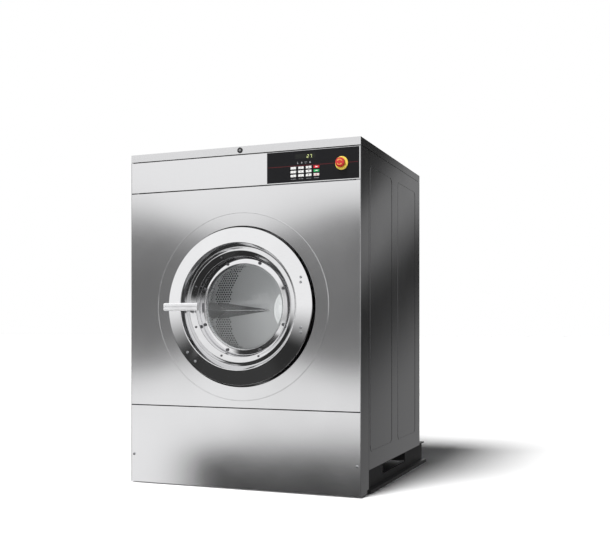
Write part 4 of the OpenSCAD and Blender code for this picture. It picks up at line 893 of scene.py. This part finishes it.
bowl_r, bowl_depth, rim_r, rim_y, glass_t = 170, 50, 187, 47, 6
bowl_sphere = (bowl_r ** 2 + bowl_depth ** 2) / (2 * bowl_depth)
bowl_radii = [bowl_r * (1 - k / 20) for k in range(21)]
bowl = [(r, rim_y + math.sqrt(bowl_sphere ** 2 - r ** 2) - bowl_sphere + bowl_depth) for r in bowl_radii]
glass = turned([(rim_r, rim_y + glass_t, 1.5), (rim_r, rim_y, 1.5), (bowl_r + 0.5, rim_y, 4)] + bowl[1:]
               + [(r, y + glass_t) for r, y in bowl[:0:-1]] + [(bowl_r + 0.5, rim_y + glass_t, 4)], 160)
shaped("door_glass_bowl", glass, clear_glass, "door", "door_glass", "door_glass")

clamp_steel = brushed("clamp_stainless", 0.88, 0.8, 30, 8, (0.05, 0.1), 0.01)
clamp = turned([(180, 36, 0.5), (181.2, 34, 0.8), (183.5, 34.4, 0.5), (201.5, 36.4, 1), (203, 37.4, 0.8),
                (203, 42), (180, 42)], 256)
shaped("glass_clamp_ring", clamp, clamp_steel, "door", "clamp_steel", "glass_clamp")
black_rubber = skin("black_rubber", 0.02, 0.013, 1200, 7, (0.45, 0.62), 0.35, 0.0003)
dress(black_rubber, "glass_gasket")

bolt = at_origin("clamp_bolt", turned([
    (0, 29.2), (5.6, 29.2, 0.8), (6.9, 30.2, 0.5), (6.9, 34.2), (3, 34.2), (3, 50), (0, 50)],
    6, (0, 0), steps=1))
stud = at_origin("funnel_stud", turned([
    (0, -5.0), (2.6, -4.7, 1), (4.8, -3.0, 1), (5, -1), (5, 18), (0, 18)], 24, (0, 0), steps=2))
ring_screw = at_origin("ring_screw", turned([
    (0, -0.4), (2.9, -0.4, 0.2), (3.1, -2.2, 0.3), (4.6, -2.3, 0.8), (5.8, -1.0, 0.5), (5.8, 0), (4, 0),
    (4, 9), (0, 9)], 24, (0, 0), steps=2))
bolt_steel = brushed("bolt_steel", 0.16, (0.1, 0.1, 0.105), 200, 60, (0.25, 0.36), 0.05, 0.8)
eighth, bolt_ring_r, stud_ring_r, hinge_screw_x = math.radians(45), 195.5, 222, 281
ring_of_eight = {"Count": 8, "First": eighth / 2, "Step": eighth}
screws = [(math.hypot(hinge_screw_x, z), math.degrees(math.atan2(z, hinge_screw_x)))
          for z in (-107, -87, 95, 115)]
screws += [(ring_r - 26, 219.5), (ring_r - 26, 229.4)]
fasteners = bmesh.new()
fasteners.from_mesh(patterned("bolts", ring_pattern, bolt, bolt_steel, spot(0, 0, axis_up),
                              Radius=bolt_ring_r * mm, **ring_of_eight))
for face in fasteners.faces:
    face.material_index = 1
fasteners.from_mesh(patterned("studs", ring_pattern, stud, zinc, spot(0, 0, axis_up),
                              Radius=stud_ring_r * mm, **ring_of_eight))
for r, degrees in screws:
    a = math.radians(degrees)
    here = spot(r * math.cos(a), ring_face(r), axis_up + r * math.sin(a))
    fasteners.from_mesh(patterned("ring_screw_set", ring_pattern, ring_screw, zinc, here,
                                  Count=1, Radius=0.0, First=0.0, Step=0.0))
door_fixings = settled("door_bolts_and_studs", fasteners)
door_fixings.materials.append(zinc)
door_fixings.materials.append(bolt_steel)
add_piece("door_bolts_and_studs", door_fixings, zinc, "door", "screw_steel", "door_fasteners")


# Hinge and handle. The hinge is hidden behind the ring: two arms on the cabinet, a pin and a
# leaf on the door. The handle is a milled bar on a turned shaft with a hooked tongue.
hinge_steel = brushed("hinge_steel", 0.5, 0.36, 90, 20, (0.28, 0.4), 0.06)
turned_steel = brushed("turned_steel", 0.6, 0.48, (60, 700, 60), 20, (0.2, 0.3), 0.05)
handle_satin = brushed("handle_satin", 0.8, 0.7, (6, 500, 500), 8, (0.2, 0.28), 0.04, 0.45)
lock_grey = skin("lock_case_coat", (0.06, 0.061, 0.063), (0.045, 0.046, 0.048), 600, 6, (0.35, 0.5), 0.25,
                 0.0004)
eased("hinge_bracket", 0.0008, hinge_steel, "cabinet", "hinge_steel")
eased("hinge_leaf", 0.0006, hinge_steel, "door", "hinge_steel")
eased("door_handle", 0.0009, handle_satin, "handle", "ring_chrome", 3)
eased("handle_shaft", 0.0006, turned_steel, "handle", "turned_steel")
eased("door_lock", 0.0008, lock_grey, "cabinet", "lock_case")
eased("lock_bolt", 0.0006, turned_steel, "bolt", "turned_steel")


# Drum: a perforated shell and back plate of satin stainless steel, three lifters that run in to
# the hub, and behind it the three-armed spider on its shaft with the belt pulley.
drum_steel = brushed("drum_stainless", 0.55, 0.49, (5, 300, 5), 3, (0.3, 0.4), 0.03, 0.4)
# a bright copy of the drum steel: painted highlight on the hub boss and the lifters' ridges
boss_and_ridge_highlight = brushed("boss_and_ridge_painted_highlight", 0.86, 0.78, 60, 6, (0.25, 0.32), 0.02, 0.1)
# near-black discs stand for the perforations: painted shade in place of the holes
hole_painted_shade = skin("perforation_painted_shade", 0.012, 0.006, 300, 20, (0.6, 0.8), 0.1)
shell_low, shell_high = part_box("drum_shell")
drum_r, drum_mouth_r, drum_t, neck_depth = (shell_high.x - shell_low.x) / 2 / mm, 222, 2, 12
drum_y, drum_back_y = (shell_low.y - front_y) / mm + neck_depth, (shell_high.y - front_y) / mm
shell = turned([(drum_mouth_r, drum_y - neck_depth, 0.8), (drum_mouth_r + drum_t, drum_y - neck_depth, 0.8),
                (drum_mouth_r + drum_t, drum_y, 0.2), (drum_r, drum_y, 5), (drum_r, drum_back_y),
                (drum_r - drum_t, drum_back_y), (drum_r - drum_t, drum_y + drum_t, 4),
                (drum_mouth_r, drum_y + drum_t, 1)], 256)
shaped("drum_shell_rolled", shell, drum_steel, "drum", "drum_steel", "drum_shell")
back_t, boss_h, hub_r = 4, 12, 118
back = turned([
    (0, drum_back_y - boss_h), (hub_r - 20, drum_back_y - boss_h, 12), (hub_r + 2, drum_back_y, 10),
    (drum_r - 2.5, drum_back_y), (drum_r - 2.5, drum_back_y + 0.5), (drum_r, drum_back_y + 0.5, 0.3),
    (drum_r, drum_back_y + back_t, 1), (0, drum_back_y + back_t)], 256)
back_plate = shaped("drum_back_pressed", back, drum_steel, "drum", "drum_steel", "drum_back")
# the hub boss in front of the back plate takes the bright copy: a painted highlight
boss_y = spot(0, drum_back_y - 0.5, 0).y
add_painted_light(back_plate, boss_and_ridge_highlight, lambda face: face.center.y < boss_y)

# a perforation is a dark disc just off the steel, with its face to the drum's inside: painted shade in place
# of the hole
hole_r, hole_sides, off_steel = 4.4 * mm, 10, -0.15 * mm
hole_turns = [math.tau * k / hole_sides for k in range(hole_sides)]
back_hole = bpy.data.meshes.new("back_hole")
back_hole.from_pydata([(hole_r * math.cos(a), off_steel, hole_r * math.sin(a)) for a in hole_turns], [],
                      [range(hole_sides)])
shell_hole = back_hole.copy()
shell_hole.transform(Matrix.Rotation(math.radians(-90), 4, "Z"))
field_columns, field_rows, free_r = 72, 80, 0.366
add_pattern("drum_back_holes", field, back_hole, hole_painted_shade, spot(0, drum_back_y, axis_up), "drum",
            "drum_steel", Count=field_columns * field_rows, Columns=field_columns, Pitch=13.2 * mm,
            Inner=free_r, Outer=(drum_r - 6) * mm)
shell_step, around = 15.6 * math.sin(math.radians(60)), 182
shell_rows = int((drum_back_y - drum_y - 40) / shell_step)
add_pattern("drum_shell_holes", shell_pattern, shell_hole, hole_painted_shade, spot(0, drum_y + 22, axis_up), "drum",
            "drum_steel", Count=around * shell_rows, Columns=around, Radius=(drum_r - drum_t) * mm,
            Step=shell_step * mm)

# the lifters take a much darker copy of the drum steel, painted shade, and their ridges over the back plate a
# bright copy, a painted highlight
lifter_painted_shade = brushed("lifter_stainless_painted_shade", (0.16, 0.16, 0.165), (0.13, 0.13, 0.135), (5, 300, 5), 3,
                       (0.3, 0.4), 0.03, 0.4)
lifters = eased("drum_lifters", 0.003, lifter_painted_shade, "drum", "drum_steel", 3)
wedge_y = spot(0, drum_back_y - 46, 0).y
add_painted_light(lifters, boss_and_ridge_highlight, lambda face: face.normal.y < -0.88 and face.center.y > wedge_y)

cast_iron = skin("cast_iron_coat", (0.075, 0.077, 0.08), (0.05, 0.052, 0.055), 160, 5, (0.45, 0.6), 0.6,
                 0.0008)
pulley_iron = skin("pulley_coat", (0.05, 0.05, 0.052), (0.035, 0.035, 0.037), 260, 6, (0.4, 0.55), 0.4,
                   0.0005)
spider_steel = brushed("machined_steel", 0.56, 0.42, 80, 12, (0.25, 0.38), 0.05)
dress(spider_steel, "drum_shaft", "shaft_bearings", "motor_rotor")
dress(pulley_iron, "drum_pulley", "motor_pulley")
dress(cast_iron, "bearing_housing")
dress(black_rubber, "shaft_seal", "drive_belts", "fill_hoses")


# Inside the cabinet: the tub with its grey door seal, the motor, the drain with its ball valve,
# the water valves, the supply dispenser and the control box.
dress(brushed("tub_stainless", 0.6, 0.5, (30, 200, 30), 3, (0.25, 0.36), 0.04), "outer_tub")
dress(turned_steel, "drain_ball")
inside_skins = {
    "door_gasket": ("door_seal_rubber", (0.05, 0.05, 0.052), (0.035, 0.035, 0.037), 900, 6, (0.45, 0.6),
                    0.35, 0.0003),
    "motor_housing": ("motor_coat", (0.045, 0.095, 0.15), (0.035, 0.075, 0.12), 220, 5, (0.35, 0.5),
                      0.35, 0.0004),
    "inlet_valves": ("valve_plastic", (0.06, 0.15, 0.3), (0.045, 0.12, 0.25), 500, 9, (0.3, 0.42),
                     0.2, 0.0002),
    "supply_dispenser": ("dispenser_plastic", (0.66, 0.67, 0.68), (0.58, 0.59, 0.6), 500, 4, (0.3, 0.42),
                         0.2, 0.0002),
    "drain_valve": ("drain_metal", (0.12, 0.122, 0.126), (0.09, 0.092, 0.095), 180, 7, (0.4, 0.55),
                    0.4, 0.0005)}
for node, values in inside_skins.items():
    dress(skin(*values), node)
eased("control_box", 0.0008, galvanised, "cabinet", "box_metal")
